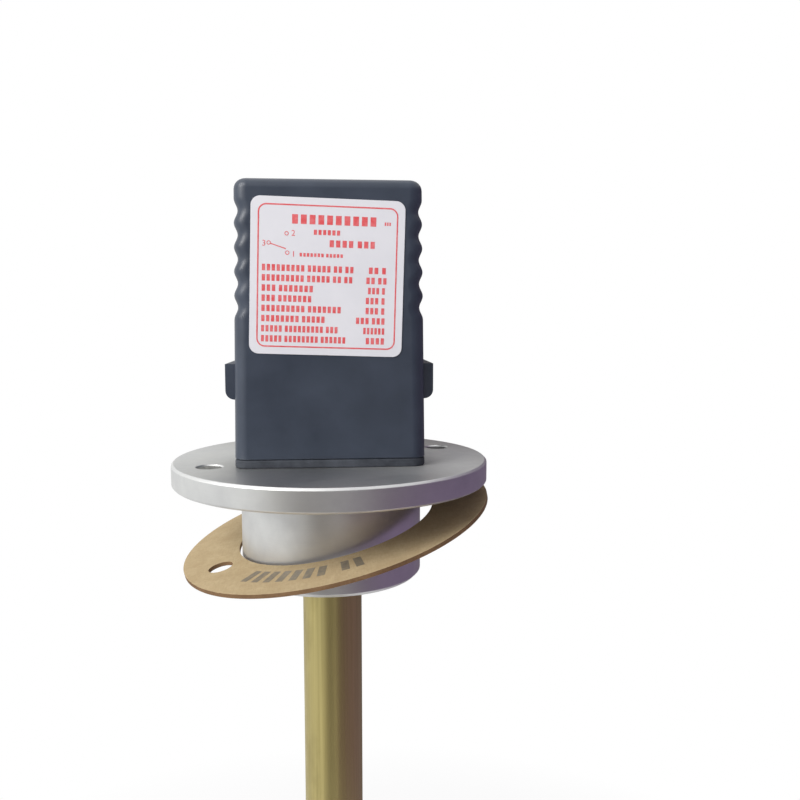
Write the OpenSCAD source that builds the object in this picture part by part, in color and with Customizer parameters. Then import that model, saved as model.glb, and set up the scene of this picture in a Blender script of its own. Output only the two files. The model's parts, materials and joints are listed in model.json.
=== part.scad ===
// Magnetic float level switch: a plug connector on a round flange, with a brass stem
// and a ring float below it. Millimetres. The origin is the centre of the flange's
// underside, and +Z runs up along the stem. The label faces -Y.

/* [Flange] */
// Diameter of the mounting flange
flange_d = 73; // [70:0.5:80]
// Thickness of the mounting flange
flange_t = 5.2; // [4.4:0.1:7]
// Chamfer along the flange's edges
flange_chamfer = 0.5; // [0.3:0.1:0.9]
// Diameter of the spigot that fills the tank's cut-out
spigot_d = 42; // [40:0.5:45]
// Length of the spigot below the flange
spigot_h = 22; // [19:0.5:30]
// Chamfer round the spigot's lower edge
spigot_chamfer = 0.8; // [0.4:0.1:1.5]
// Number of bolt holes
hole_count = 2; // [2:1:4]
// Diameter of each bolt hole
hole_d = 5.5; // [4.5:0.1:6]
// Diameter of the circle that the bolt holes lie on
hole_pcd = 58; // [57:0.5:61]
// Direction of the first bolt hole, in degrees from +X
hole_turn = 204; // [190:1:214]

/* [Flange gasket] */
// Thickness of the fibre gasket
gasket_t = 1.2; // [0.8:0.1:1.6]
// Tilt of the gasket as it hangs loose on the spigot
gasket_tilt = 13.75; // [12:0.25:16]
// Direction of the gasket's high side, in degrees from +X
gasket_turn = 18; // [10:1:30]
// How far the gasket's high side hangs below its seated height
gasket_drop = 1.7; // [1.7:0.1:3]

/* [Stem] */
// Outside diameter of the stem tube
stem_d = 14; // [13:0.25:14.5]
// Wall of the stem tube
stem_wall = 1; // [0.8:0.1:1.3]
// Length of the stem below the flange
stem_l = 200; // [160:5:400]
// Height of the domed end plug
cap_h = 4; // [3:0.5:6]
// Length of the end plug inside the tube
plug_l = 8; // [5:0.5:12]
// Thickness of the ring brazed round the top of the stem
collar_t = 2.6; // [2:0.1:3.2]
// Thickness of the ring nut that clamps the stem
ring_nut_t = 2.2; // [1.8:0.1:2.6]
// Cord diameter of the stem's sealing ring
seal_d = 1.4; // [1.2:0.1:1.5]
// Length of the rubber grommet in the top of the tube
grommet_l = 6; // [4:0.5:9]

/* [Stops] */
// Distance from the end of the tube up to the lower clip
clip_up = 3; // [2:0.5:8]
// Thickness of each retaining clip
clip_t = 1; // [0.8:0.1:1.2]
// Width of each retaining clip's rim
clip_rim = 2.5; // [2:0.1:3]
// Thickness of each stop washer
washer_t = 1.2; // [1:0.1:2]
// Outside diameter of each stop washer
washer_d = 22; // [20:0.5:26]

/* [Float] */
// Height of the float
float_h = 40; // [34:1:50]
// Travel of the float between its stops
float_travel = 20; // [10:1:40]
// Radial play between the float and the stem
float_play = 0.7; // [0.5:0.05:0.9]
// How much narrower the float is than the spigot, all round
float_slip = 1; // [0.5:0.1:2]
// Wall of the float
float_wall = 2; // [1.6:0.1:2.6]
// Thickness of the float's floor and of its lid
float_end_t = 3; // [2.4:0.1:4]
// Radius of the float's outer edges
float_round = 2.2; // [1:0.1:2.4]
// Height of the shoulder that carries the magnet
magnet_z = 14; // [8:1:18]
// Height of the ring magnet
magnet_h = 10; // [6:1:12]
// Radial width of the ring magnet
magnet_w = 4.6; // [3:0.1:6]

/* [Reed contact] */
// Width of the circuit board in the stem
board_w = 8; // [6:0.5:9]
// Thickness of the circuit board
board_t = 1.2; // [1:0.1:1.6]
// Length of the reed contact's glass
reed_l = 14; // [10:1:18]
// Diameter of the reed contact's glass
reed_d = 2.8; // [2.4:0.1:3]
// Diameter of each connecting wire
wire_d = 1.2; // [0.9:0.1:1.3]

/* [Contact base] */
// Height of the contact base in the flange
base_h = 11; // [10:0.5:12]
// Thickness of the base's plate
base_plate_t = 4; // [3.4:0.1:4.4]
// Wall of the base's skirt
base_wall = 2; // [1.4:0.1:2.2]
// Shank diameter of the two base screws
base_screw_d = 2.5; // [2:0.1:2.6]
// Head diameter of the two base screws
base_head_d = 4.5; // [4:0.1:4.6]
// Head height of the two base screws
base_head_h = 1.8; // [1.4:0.1:2]
// Depth to which the base screws reach into the flange
base_screw_bite = 5; // [4:0.5:6]
// Width of each contact blade
blade_w = 6.3; // [5.5:0.1:6.5]
// Thickness of each contact blade
blade_t = 0.8; // [0.6:0.05:1]
// Height of the blades above the flange
blade_h = 12; // [10:0.5:13]

/* [Connector hood] */
// Thickness of the flat gasket under the hood
pad_t = 1.8; // [1.2:0.1:2.4]
// Width of the hood at its foot
hood_w = 41.6; // [40.6:0.1:46]
// Depth of the hood at its foot, front to back
hood_d = 30; // [29.6:0.1:34]
// Height of the hood
hood_h = 59.9; // [57:0.1:66]
// Wall of the hood
hood_wall = 2.4; // [2:0.1:2.5]
// How much each side leans in over the hood's height
hood_draft = 0.8; // [0.2:0.1:1.2]
// Radius of the hood's upright edges
hood_round = 3; // [2:0.1:4]
// Radius of the hood's top edges
crown_round = 2.2; // [1:0.1:2.3]
// Number of grip flutes on each side
grip_count = 5; // [3:1:6]
// Height of the highest flute below the hood's top
grip_down = 6.7; // [5:0.1:9]
// Distance from flute to flute
grip_pitch = 5.1; // [4:0.1:5.2]
// Depth of each flute
grip_depth = 0.8; // [0.4:0.05:1]
// How far each side lug stands out
lug_out = 2.2; // [1:0.1:3]
// Height of each side lug
lug_h = 7.8; // [6:0.1:9]
// Height of the side lugs above the hood's foot
lug_z = 12.8; // [8:0.1:16]
// Length of each side lug, front to back
lug_l = 22; // [14:0.5:23]

/* [Label] */
// Width of the label
label_w = 32.5; // [26:0.5:33]
// Height of the label
label_h = 33; // [26:0.5:34]
// Thickness of the label
label_t = 0.2; // [0.1:0.05:0.4]
// Height of the label's centre below the hood's top
label_down = 20.8; // [19:0.1:24]
// Sideways offset of the label's centre
label_x = -0.4; // [-1:0.1:1]
// Slight turn of the label as it was stuck on
label_turn = 1.7; // [0:0.1:2]

/* [Terminal insert] */
// Height of the terminal insert in the hood
insert_h = 20.7; // [19.6:0.1:22]
// Thickness of each socket leaf
leaf_t = 0.5; // [0.3:0.05:0.6]
// Length of the terminal blocks, outward
block_l = 4.6; // [4.2:0.1:5]
// Width of the terminal blocks
block_w = 7; // [6.6:0.1:7.4]
// Wall of the insert outside each terminal block
insert_wall = 0.8; // [0.6:0.1:1]
// Height of the wire hole above the foot of each terminal block
wire_hole_up = 2.8; // [2:0.1:3.4]
// Diameter of the wire hole
wire_hole_d = 2; // [1.6:0.1:2.2]
// Shank diameter of the terminal screws
terminal_screw_d = 2.5; // [2:0.1:2.8]
// Head diameter of the terminal screws
terminal_head_d = 4.4; // [3.8:0.1:4.6]
// Head height of the terminal screws
terminal_head_h = 1.6; // [1.2:0.1:1.8]

/* [Hood screw] */
// Shank diameter of the captive screw
screw_d = 3.5; // [3:0.1:3.6]
// Head diameter of the captive screw
screw_head_d = 6.5; // [6:0.1:7]
// Head height of the captive screw
screw_head_h = 3; // [2:0.1:3.4]
// Diameter of the recess in the hood for the screw's head
recess_d = 8; // [7.4:0.1:9]
// Depth of the recess
recess_h = 5; // [4.6:0.1:6]
// Thread pitch of the captive screw
screw_pitch = 0.6; // [0.5:0.05:0.7]
// Turns that free the captive screw
screw_turns = 12; // [11:1:13]
// How deep the captive screw reaches into its nut
screw_bite = 6.5; // [5:0.1:6.6]

/* [Cable gland] */
// Height of the gland's axis below the hood's top
gland_down = 20.9; // [14:0.1:24]
// Diameter of the gland's bore
gland_d = 16; // [14:0.5:18]
// Wall of the gland's boss
gland_wall = 3; // [2:0.1:3.4]
// Length of the gland's boss behind the hood
gland_l = 10; // [9:0.5:14]
// Diameter of the cable that the seal takes
cable_d = 8.5; // [7:0.5:9]
// Length of the rubber seal
cable_seal_l = 6; // [4:0.5:6.5]
// Thickness of the washer on the seal
cable_washer_t = 1; // [0.6:0.1:1.2]
// Width across the flats of the gland nut
nut_flats = 19; // [18:0.5:22]
// Length of the gland nut's head
nut_head_l = 6; // [4:0.5:8]

/* [Hidden] */
// Clearance between pieces that are fixed in each other
fit = 0.03;
// Clearance round a shaft or thread that turns
turn_fit = 0.05;
// Gap between flat faces that part when the object is used
rest_gap = 0.05;
// Play of a drop-in piece
drop_in = 0.2;
// Cut overshoot
over = 1;

// The gasket is as wide as the flange, and its bore clears the spigot at every tilt
gasket_seat = 0.3;
gasket_play = 0.35;
gasket_d = flange_d;
gasket_pivot = gasket_d / 2 + gasket_drop / sin(gasket_tilt);
gasket_shift = gasket_pivot * (1 - cos(gasket_tilt));
gasket_bore = 2 * (spigot_d / 2 + gasket_play + gasket_shift
    + gasket_t / 2 * sin(gasket_tilt)) / cos(gasket_tilt);

// Heights inside the flange, from the contact base down to the stem's seat
base_floor = flange_t - base_h;
seat_z = base_floor - ring_nut_t - collar_t - seal_d;
ring_nut_d = stem_d + 4;
stem_top = base_floor + 0.6;
stem_id = stem_d - 2 * stem_wall;
tube_end = cap_h - stem_l;
plug_top = tube_end + plug_l;
grommet_z = stem_top - grommet_l;

// Contact base
base_screw_r = ring_nut_d / 2 + base_screw_d / 2 + 0.8;
base_d = 2 * (base_screw_r + base_head_d / 2 + 0.15);
plate_z = flange_t - base_plate_t;
blade_top = flange_t + blade_h;
tail_l = 3;
thread_insert_d = screw_d + 2.1;
thread_insert_h = screw_bite + 0.5;
contact_turns = [0, 180, 270];
earth_turn = 90;

// Stops and float
groove_depth = stem_wall / 2;
lower_clip_z = tube_end + clip_up;
lower_washer_z = lower_clip_z + clip_t;
float_z = lower_washer_z + washer_t + rest_gap;
upper_washer_z = float_z + float_h + float_travel + rest_gap;
upper_clip_z = upper_washer_z + washer_t;
float_r = spigot_d / 2 - float_slip;
float_bore_r = stem_d / 2 + float_play;
float_tube_r = float_bore_r + 1.6;
magnet_r = float_tube_r + 0.1;
lid_step = 1.5;

// Reed contact, in the middle of the magnet's travel
board_y = 0.5;
reed_z = float_z + magnet_z + magnet_h / 2 + float_travel / 2;
reed_y = board_y - reed_d / 2 - fit;
lead_d = 0.6;
wire_y = board_y - wire_d / 2 - fit;
wire_spread = 2.4;
wire_low = grommet_z - 5;

// Hood and what it carries
hood_z = flange_t + pad_t + rest_gap;
hood_top = hood_z + hood_h;
pad_window = base_d - 3;
edge_ease = 0.05;
insert_z = hood_z + 0.3;
insert_top = insert_z + insert_h;
insert_wide = 2 * hood_half(insert_h + 0.3, hood_wall) - 2 * drop_in;
insert_deep = hood_d - 2 * hood_draft - 2 * hood_wall - 2 * drop_in;
blade_r = insert_deep / 2 - insert_wall - drop_in / 2 - block_l / 2;
block_z = blade_top + 0.5;
block_top = insert_top - 2.2;
leaf_gap = 0.08;
leaf_z = insert_z + 1.2;
recess_z = hood_top - recess_h;
screw_seal_t = 0.8;
head_z = recess_z + screw_seal_t + rest_gap;
screw_end = flange_t - screw_bite;
screw_lift = screw_turns * screw_pitch;
clip_ring_t = 1.2;
clip_ring_d = screw_d + 3.5;
clip_ring_z = insert_top + 0.3;
column_z = clip_ring_z + clip_ring_t + screw_lift + 0.3;
column_d = screw_d + 4.8;
grip_steps = 10;
grip_z = hood_h - grip_down - (grip_count - 1) * grip_pitch;

// Cable gland, along +Y
gland_axis_z = hood_top - gland_down;
gland_seat = hood_d / 2;
gland_mouth = gland_seat + gland_l;
throat_d = cable_d + 1;
washer_y = gland_seat + cable_seal_l;
shank_y = washer_y + cable_washer_t + 4 * rest_gap;
nut_y = gland_mouth + 4 * rest_gap;

$fn = 72;

// Points along an arc
function arc(cx, cy, r, from, to, steps) =
    [for (i = [0:steps]) let (a = from + (to - from) * i / steps)
        [cx + r * cos(a), cy + r * sin(a)]];

// Outline of a rectangle with round corners, centred
function rounded_box(w, d, r) = concat(
    arc(w / 2 - r, d / 2 - r, r, 0, 90, 8),
    arc(r - w / 2, d / 2 - r, r, 90, 180, 8),
    arc(r - w / 2, r - d / 2, r, 180, 270, 8),
    arc(w / 2 - r, r - d / 2, r, 270, 360, 8));

// Point on a cubic curve that leaves a and reaches b straight upward
function rise_at(a, b, u) = let (pull = [0, 0, (b.z - a.z) * 0.7], v = 1 - u)
    v * v * v * a + 3 * v * v * u * (a + pull) + 3 * v * u * u * (b - pull) + u * u * u * b;

// Half of the hood's front outline: a drafted side with wavy flutes and a round top corner
function hood_half(z, inset) = hood_w / 2 - inset - hood_draft * z / hood_h;
function flute(z) = grip_depth * (1 + cos(360 * (z - grip_z) / grip_pitch)) / 2;
function fluted_edge() = concat(
    [[hood_half(0, 0), 0]],
    [for (i = [0:grip_steps * grip_count])
        let (z = grip_z + (i / grip_steps - 0.5) * grip_pitch) [hood_half(z, 0) - flute(z), z]],
    arc(hood_half(hood_h, 0) - crown_round, hood_h - crown_round, crown_round, 0, 90, 6));
function plain_edge(inset, top) = [[hood_half(0, inset), -over],
    [hood_half(top, inset), top]];
function both_edges(edge) = concat(edge, [for (i = [len(edge) - 1:-1:0]) [-edge[i].x, edge[i].y]]);

// Outline of the hood seen from the side, upright in front and drafted at the back
function hood_side() = concat(
    [[-hood_d / 2, 0], [hood_d / 2, 0]],
    arc(hood_d / 2 - hood_draft - crown_round, hood_h - crown_round, crown_round, 0, 90, 6),
    arc(crown_round - hood_d / 2, hood_h - crown_round, crown_round, 90, 180, 6));

module rod(d, low, high) {
    translate([0, 0, low]) cylinder(d = d, h = high - low);
}

module ring(outer, inner, low, high) {
    difference() {
        rod(outer, low, high);
        rod(inner, low - over, high + over);
    }
}

module along_y(length) {
    rotate([90, 0, 0]) linear_extrude(length, center = true) children();
}

module along_x(length) {
    rotate([90, 0, 90]) linear_extrude(length, center = true) children();
}

module bolt_circle(low, high) {
    for (i = [0:hole_count - 1])
        rotate([0, 0, hole_turn + i * 360 / hole_count])
            translate([hole_pcd / 2, 0, 0]) rod(hole_d, low, high);
}

module at_base_screws() {
    for (a = [45, 225]) rotate([0, 0, a]) translate([base_screw_r, 0, 0]) children();
}

module at_contacts(turns) {
    for (a = turns) rotate([0, 0, a]) translate([blade_r, 0, 0]) children();
}

// Slotted screw with its head's underside at z = 0
module slotted_screw(shank_d, length, head_d, head_h) {
    difference() {
        union() {
            rod(shank_d, -length, 0.2);
            rod(head_d, 0, head_h);
        }
        translate([0, 0, head_h]) cube([head_d + over, head_h / 4, head_h], center = true);
    }
}

// Round wire swept in the upright plane that holds its ends
module upright_wire(route, d) {
    sides = 8;
    last = len(route) - 1;
    run = [route[last].x - route[0].x, route[last].y - route[0].y, 0] / norm(
        [route[last].x - route[0].x, route[last].y - route[0].y]);
    side = [-run.y, run.x, 0];
    function heading(i) = let (d = route[min(i + 1, last)] - route[max(i - 1, 0)]) d / norm(d);
    points = [for (i = [0:last]) let (up = cross(heading(i), side))
        for (j = [0:sides - 1]) let (a = 360 * j / sides)
            route[i] + d / 2 * (cos(a) * side + sin(a) * up)];
    faces = concat(
        [[for (j = [sides - 1:-1:0]) j]],
        [[for (j = [0:sides - 1]) last * sides + j]],
        [for (i = [0:last - 1]) for (j = [0:sides - 1]) let (k = (j + 1) % sides)
            [i * sides + j, i * sides + k, (i + 1) * sides + k, (i + 1) * sides + j]]);
    polyhedron(points, faces);
}

// Turned flange with its spigot, bored for the stem and pocketed for the contact base
module flange_body() {
    color([0.78, 0.78, 0.76]) difference() {
        rotate_extrude() polygon([[0, -spigot_h], [spigot_d / 2 - spigot_chamfer, -spigot_h],
            [spigot_d / 2, spigot_chamfer - spigot_h], [spigot_d / 2, 0],
            [flange_d / 2 - flange_chamfer, 0], [flange_d / 2, flange_chamfer],
            [flange_d / 2, flange_t - flange_chamfer],
            [flange_d / 2 - flange_chamfer, flange_t], [0, flange_t]]);
        rod(base_d + 2 * fit, base_floor, flange_t + over);
        rod(ring_nut_d + 2 * fit, seat_z, flange_t);
        rod(stem_d + 2 * fit, -spigot_h - over, flange_t);
        bolt_circle(-over, flange_t + over);
        at_base_screws()
            rod(base_screw_d + 2 * fit, base_floor - base_screw_bite - over, base_floor + over);
    }
}

// Fibre gasket, hanging tilted on the spigot
module flange_gasket() {
    pivot = [gasket_pivot * cos(gasket_turn), gasket_pivot * sin(gasket_turn),
        -gasket_seat - gasket_t / 2];
    color([0.76, 0.6, 0.4])
        translate(pivot) rotate(a = -gasket_tilt, v = [-sin(gasket_turn), cos(gasket_turn), 0])
            translate(-pivot) difference() {
                ring(gasket_d, gasket_bore, -gasket_seat - gasket_t, -gasket_seat);
                bolt_circle(-gasket_seat - gasket_t - over, over);
            }
}

// Brass tube with a groove for each clip
module stem_tube() {
    color([0.72, 0.58, 0.25]) difference() {
        rod(stem_d, tube_end, stem_top);
        rod(stem_id, tube_end - over, stem_top + over);
        for (z = [lower_clip_z, upper_clip_z])
            ring(stem_d + over, stem_d - 2 * groove_depth, z - fit, z + clip_t + fit);
    }
}

module stem_collar() {
    color([0.72, 0.58, 0.25])
        ring(ring_nut_d - 2 * fit, stem_d + 2 * fit, seat_z + seal_d, seat_z + seal_d + collar_t);
}

module stem_seal() {
    color([0.1, 0.1, 0.1]) translate([0, 0, seat_z + seal_d / 2])
        rotate_extrude() translate([(stem_d + ring_nut_d) / 4, 0]) circle(d = seal_d - 2 * fit);
}

// Ring nut with two slots for a pin wrench
module ring_nut() {
    low = base_floor - ring_nut_t;
    color([0.75, 0.62, 0.3]) difference() {
        ring(ring_nut_d - 2 * fit, stem_d + 2 * fit, low, base_floor);
        translate([0, 0, base_floor]) cube([ring_nut_d + over, 1.6, ring_nut_t], center = true);
    }
}

// Domed plug that closes the tube
module end_plug() {
    inner = stem_id / 2 - fit;
    brim_z = tube_end - 0.8;
    color([0.72, 0.58, 0.25]) rotate_extrude() polygon(concat(
        [for (a = [270:10:360]) [stem_d / 2 * cos(a), brim_z + (brim_z + stem_l) * sin(a)]],
        [[stem_d / 2, tube_end - fit], [inner, tube_end - fit], [inner, plug_top], [0, plug_top]]));
}

// Open retaining rings in the stem's grooves
module stop_clips() {
    inner = stem_d - 2 * groove_depth + 2 * fit;
    color([0.6, 0.6, 0.62]) for (z = [lower_clip_z, upper_clip_z]) difference() {
        ring(stem_d + 2 * clip_rim, inner, z, z + clip_t);
        translate([-1.5, 0, z - over]) cube([3, stem_d, clip_t + 2 * over]);
    }
}

module stop_washers() {
    color([0.15, 0.15, 0.15]) for (z = [lower_washer_z, upper_washer_z])
        ring(washer_d, stem_d + 2 * fit, z, z + washer_t);
}

// Float body: outer wall, floor and inner tube in one, with a shoulder for the magnet
module float_shell() {
    low = float_z;
    lid_z = float_z + float_h - float_end_t;
    shoulder = magnet_r + magnet_w * 0.6;
    color([0.16, 0.17, 0.19]) rotate_extrude() polygon(concat(
        [[float_bore_r, low]],
        arc(float_r - float_round, low + float_round, float_round, 270, 360, 6),
        [[float_r, lid_z], [float_r - lid_step, lid_z], [float_r - lid_step, lid_z - lid_step],
            [float_r - lid_step - float_wall, lid_z - lid_step - float_wall],
            [float_r - lid_step - float_wall, low + float_end_t],
            [shoulder, low + float_end_t], [shoulder, low + magnet_z],
            [float_tube_r, low + magnet_z], [float_tube_r, lid_z - fit], [float_bore_r, lid_z - fit]]));
}

// Float lid: a cap with a rim that plugs the body and a sleeve that holds the magnet down
module float_lid() {
    top = float_z + float_h;
    lid_z = top - float_end_t;
    color([0.16, 0.17, 0.19]) rotate_extrude() polygon(concat(
        [[float_bore_r, lid_z], [magnet_r, lid_z], [magnet_r, float_z + magnet_z + magnet_h + fit],
            [magnet_r + 1.6, float_z + magnet_z + magnet_h + fit], [magnet_r + 1.6, lid_z],
            [float_r - lid_step - float_wall, lid_z],
            [float_r - lid_step - float_wall, lid_z - lid_step + fit],
            [float_r - lid_step - fit, lid_z - lid_step + fit],
            [float_r - lid_step - fit, lid_z + fit], [float_r, lid_z + fit]],
        arc(float_r - float_round, top - float_round, float_round, 0, 90, 6),
        [[float_bore_r, top]]));
}

module float_magnet() {
    low = float_z + magnet_z;
    color([0.25, 0.25, 0.27])
        ring(2 * (magnet_r + magnet_w), 2 * magnet_r, low, low + magnet_h);
}

// Glass tube of the reed contact, closed round its leads
module reed_glass() {
    bore = reed_d / 2 - 0.4;
    half = reed_l / 2;
    color([0.7, 0.85, 0.8, 0.5]) translate([0, reed_y, reed_z]) difference() {
        cylinder(d = reed_d, h = reed_l, center = true);
        cylinder(r = bore, h = reed_l - 3, center = true);
        rod(lead_d + 2 * fit, -half - over, 0);
        for (x = [-1, 1]) translate([x * bore / 2, 0, 0])
            rod(lead_d + 2 * fit, 0, half + over);
    }
}

// Spring blade from below, between two fixed blades from above
module reed_blades() {
    side = (reed_d / 2 - 0.4) / 2;
    color([0.75, 0.7, 0.6]) translate([0, reed_y, reed_z]) {
        rod(lead_d, -reed_l / 2 - 5, -reed_l / 2 + 2);
        translate([0, 0, 0.5 - reed_l / 4]) cube([0.15, lead_d, reed_l / 2 - 2], center = true);
        for (x = [-side, side]) translate([x, 0, 0])
            rod(lead_d, 0.5, reed_l / 2 + 5);
    }
}

module circuit_board() {
    color([0.45, 0.36, 0.16]) translate([-board_w / 2, board_y, plug_top])
        cube([board_w, board_t, grommet_z - plug_top]);
}

// Three wires from the board, up through the grommet to the blades
module lead_wires() {
    bend_z = stem_top - 0.2;
    lanes = [[wire_spread, 0], [-wire_spread, 180], [0, 270]];
    color([0.75, 0.1, 0.1]) for (lane = lanes) {
        foot = [lane[0], wire_y, bend_z];
        tail = [blade_r * cos(lane[1]), blade_r * sin(lane[1]), plate_z - tail_l - fit];
        upright_wire(concat([foot - [0, 0, bend_z - wire_low]],
            [for (i = [0:10]) rise_at(foot, tail, i / 10)]), wire_d);
    }
}

module wire_grommet() {
    color([0.1, 0.1, 0.1]) difference() {
        rod(stem_id - 2 * fit, grommet_z, stem_top - 0.3);
        for (x = [-wire_spread, 0, wire_spread]) translate([x, wire_y, 0])
            rod(wire_d + 2 * fit, grommet_z - over, stem_top + over);
    }
}

// Moulded base: a plate with a skirt, screw bosses and slots for the blades
module contact_base() {
    insert_low = flange_t - thread_insert_h;
    color([0.13, 0.13, 0.14]) difference() {
        union() {
            rod(base_d, plate_z, flange_t);
            ring(base_d, base_d - 2 * base_wall, base_floor, plate_z + 0.2);
            intersection() {
                at_base_screws() rod(base_head_d + 1.6, base_floor, plate_z + 0.2);
                rod(base_d, base_floor, flange_t);
            }
            rod(thread_insert_d + 3, insert_low, plate_z + 0.2);
        }
        rod(thread_insert_d + 2 * fit, insert_low - over, flange_t + over);
        at_base_screws() {
            rod(base_screw_d + drop_in, base_floor - over, flange_t + over);
            rod(base_head_d + drop_in, flange_t - base_head_h - drop_in, flange_t + over);
        }
        at_contacts(concat(contact_turns, earth_turn))
            cube([blade_t + 2 * fit, blade_w + 2 * fit, 2 * (flange_t + over)], center = true);
    }
}

// Flat blade with bevelled tip corners
module blade() {
    tip = 1.2;
    rotate([0, 0, 90]) rotate([90, 0, 0]) linear_extrude(blade_t, center = true) polygon([
        [-blade_w / 2, plate_z - tail_l], [blade_w / 2, plate_z - tail_l],
        [blade_w / 2, blade_top - tip], [blade_w / 2 - tip, blade_top],
        [tip - blade_w / 2, blade_top], [-blade_w / 2, blade_top - tip]]);
}

module contact_blades() {
    color([0.8, 0.78, 0.7]) at_contacts(contact_turns) blade();
}

module earth_blade() {
    color([0.8, 0.78, 0.7]) at_contacts([earth_turn]) blade();
}

module base_screws() {
    shank = base_h - base_head_h - drop_in + base_screw_bite;
    color([0.7, 0.7, 0.7]) at_base_screws() translate([0, 0, flange_t - base_head_h - drop_in])
        slotted_screw(base_screw_d, shank, base_head_d, base_head_h);
}

module thread_insert() {
    color([0.75, 0.62, 0.3]) ring(thread_insert_d, screw_d + 2 * turn_fit,
        flange_t - thread_insert_h, flange_t - 0.1);
}

module plug_gasket() {
    color([0.08, 0.08, 0.08]) difference() {
        translate([0, 0, flange_t]) linear_extrude(pad_t)
            polygon(rounded_box(hood_w, hood_d, hood_round));
        rod(pad_window, flange_t - over, flange_t + pad_t + over);
    }
}

// Outside of the hood: its front, side and top outlines cut each other
module hood_outside() {
    intersection() {
        along_y(hood_d + over) polygon(both_edges(fluted_edge()));
        along_x(hood_w + over) polygon(hood_side());
        translate([0, 0, -over]) linear_extrude(hood_h + 2 * over)
            polygon(rounded_box(hood_w + 2 * edge_ease, hood_d + 2 * edge_ease, hood_round));
    }
}

// Lug on each side: a square ledge above and a round corner below
module side_lugs() {
    corner = lug_h / 4;
    foot = hood_half(lug_z, 0);
    for (side = [0, 1]) mirror([side, 0, 0]) translate([0, 0, lug_z])
        along_y(lug_l) polygon(concat([[foot - over, lug_h], [foot - over, 0]],
            arc(foot + lug_out - corner, corner, corner, 270, 360, 8), [[foot + lug_out, lug_h]]));
}

module hood_cavity() {
    top = hood_h - hood_wall;
    depth = hood_d - 2 * hood_draft - 2 * hood_wall;
    intersection() {
        along_y(hood_d) polygon(both_edges(plain_edge(hood_wall, top)));
        translate([0, 0, -over]) linear_extrude(hood_h)
            polygon(rounded_box(hood_w, depth, hood_round / 2));
    }
}

// Tube that guides the captive screw from the recess down to just above the insert
module screw_column() {
    rod(recess_d + 4, recess_z - hood_z - 2, hood_h - hood_wall / 2);
    rod(column_d, column_z - hood_z, hood_h - hood_wall / 2);
}

// Ribs inside the hood that hold the terminal insert down
module holding_ribs() {
    low = insert_top + drop_in - hood_z;
    reach = hood_half(low, hood_wall) - 1.6;
    for (x = [-1, 1], y = [-5, 5])
        translate([x > 0 ? reach : -reach - 1.6 - over, y - 0.8, low])
            cube([1.6 + over, 1.6, hood_h - hood_wall / 2 - low]);
}

module gland_axis() {
    translate([0, 0, gland_axis_z]) rotate([-90, 0, 0]) children();
}

// Moulded plug housing
module connector_hood() {
    color([0.1, 0.11, 0.14]) difference() {
        union() {
            translate([0, 0, hood_z]) difference() {
                union() {
                    hood_outside();
                    side_lugs();
                }
                hood_cavity();
            }
            translate([0, 0, hood_z]) screw_column();
            translate([0, 0, hood_z]) holding_ribs();
            gland_axis() rod(gland_d + 2 * gland_wall, gland_seat - hood_wall, gland_mouth);
        }
        rod(recess_d, recess_z, hood_top + over);
        rod(screw_d + 0.8, hood_z, hood_top);
        gland_axis() rod(gland_d, gland_seat, gland_mouth + over);
        gland_axis() rod(throat_d, gland_seat - hood_draft - hood_wall - over, gland_mouth);
    }
}

module rating_label() {
    color([0.93, 0.93, 0.92])
        translate([label_x, -hood_d / 2 - label_t / 2, hood_top - label_down])
            rotate([0, label_turn, 0]) along_y(label_t) polygon(rounded_box(label_w, label_h, 2));
}

// Block that carries the sockets and terminals
module terminal_insert() {
    color([0.25, 0.25, 0.27]) difference() {
        translate([0, 0, insert_z]) linear_extrude(insert_h)
            polygon(rounded_box(insert_wide, insert_deep, hood_round / 2));
        rod(screw_d + 0.8, insert_z - over, insert_top + over);
        at_contacts(concat(contact_turns, earth_turn)) {
            translate([0, 0, insert_top]) cube([block_l + drop_in, block_w + drop_in,
                2 * (insert_top - leaf_z + drop_in)], center = true);
            translate([0, 0, insert_z]) cube([blade_t + 0.5, blade_w + 0.5, 2 * leaf_z], center = true);
        }
    }
}

// Two spring leaves round the blade, under a block for the wire and its screw
module socket_contact() {
    leaf_x = blade_t / 2 + leaf_gap + leaf_t / 2;
    difference() {
        union() {
            for (x = [-leaf_x, leaf_x]) translate([x, 0, (leaf_z + block_z) / 2])
                cube([leaf_t, blade_w, block_z - leaf_z + 0.2], center = true);
            translate([-block_l / 2, -block_w / 2, block_z]) cube([block_l, block_w, block_top - block_z]);
        }
        rod(terminal_screw_d + 2 * fit, block_z + 1, block_top + over);
        translate([0, 0, block_z + wire_hole_up]) rotate([90, 0, 0])
            cylinder(d = wire_hole_d, h = block_w + over, center = true);
    }
}

module socket_contacts() {
    color([0.78, 0.68, 0.4]) at_contacts(concat(contact_turns, earth_turn)) socket_contact();
}

module terminal_screws() {
    shank = block_top - block_z - wire_hole_up;
    color([0.7, 0.7, 0.7]) at_contacts(concat(contact_turns, earth_turn))
        translate([0, 0, block_top])
            slotted_screw(terminal_screw_d, shank, terminal_head_d, terminal_head_h);
}

module screw_seal() {
    color([0.08, 0.08, 0.08])
        ring(recess_d - 2 * fit, screw_d + 0.8, recess_z, recess_z + screw_seal_t);
}

// Ring on the screw's shank that keeps it in the hood
module captive_ring() {
    color([0.6, 0.6, 0.62]) ring(clip_ring_d, screw_d + 2 * turn_fit,
        clip_ring_z, clip_ring_z + clip_ring_t);
}

module hood_screw() {
    color([0.72, 0.72, 0.7]) translate([0, 0, head_z])
        slotted_screw(screw_d, head_z - screw_end, screw_head_d, screw_head_h);
}

module cable_seal() {
    color([0.1, 0.1, 0.1]) gland_axis() ring(gland_d - 2 * fit, cable_d, gland_seat, washer_y);
}

module cable_washer() {
    color([0.7, 0.7, 0.7]) gland_axis()
        ring(gland_d - 2 * fit, throat_d, washer_y, washer_y + cable_washer_t);
}

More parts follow.
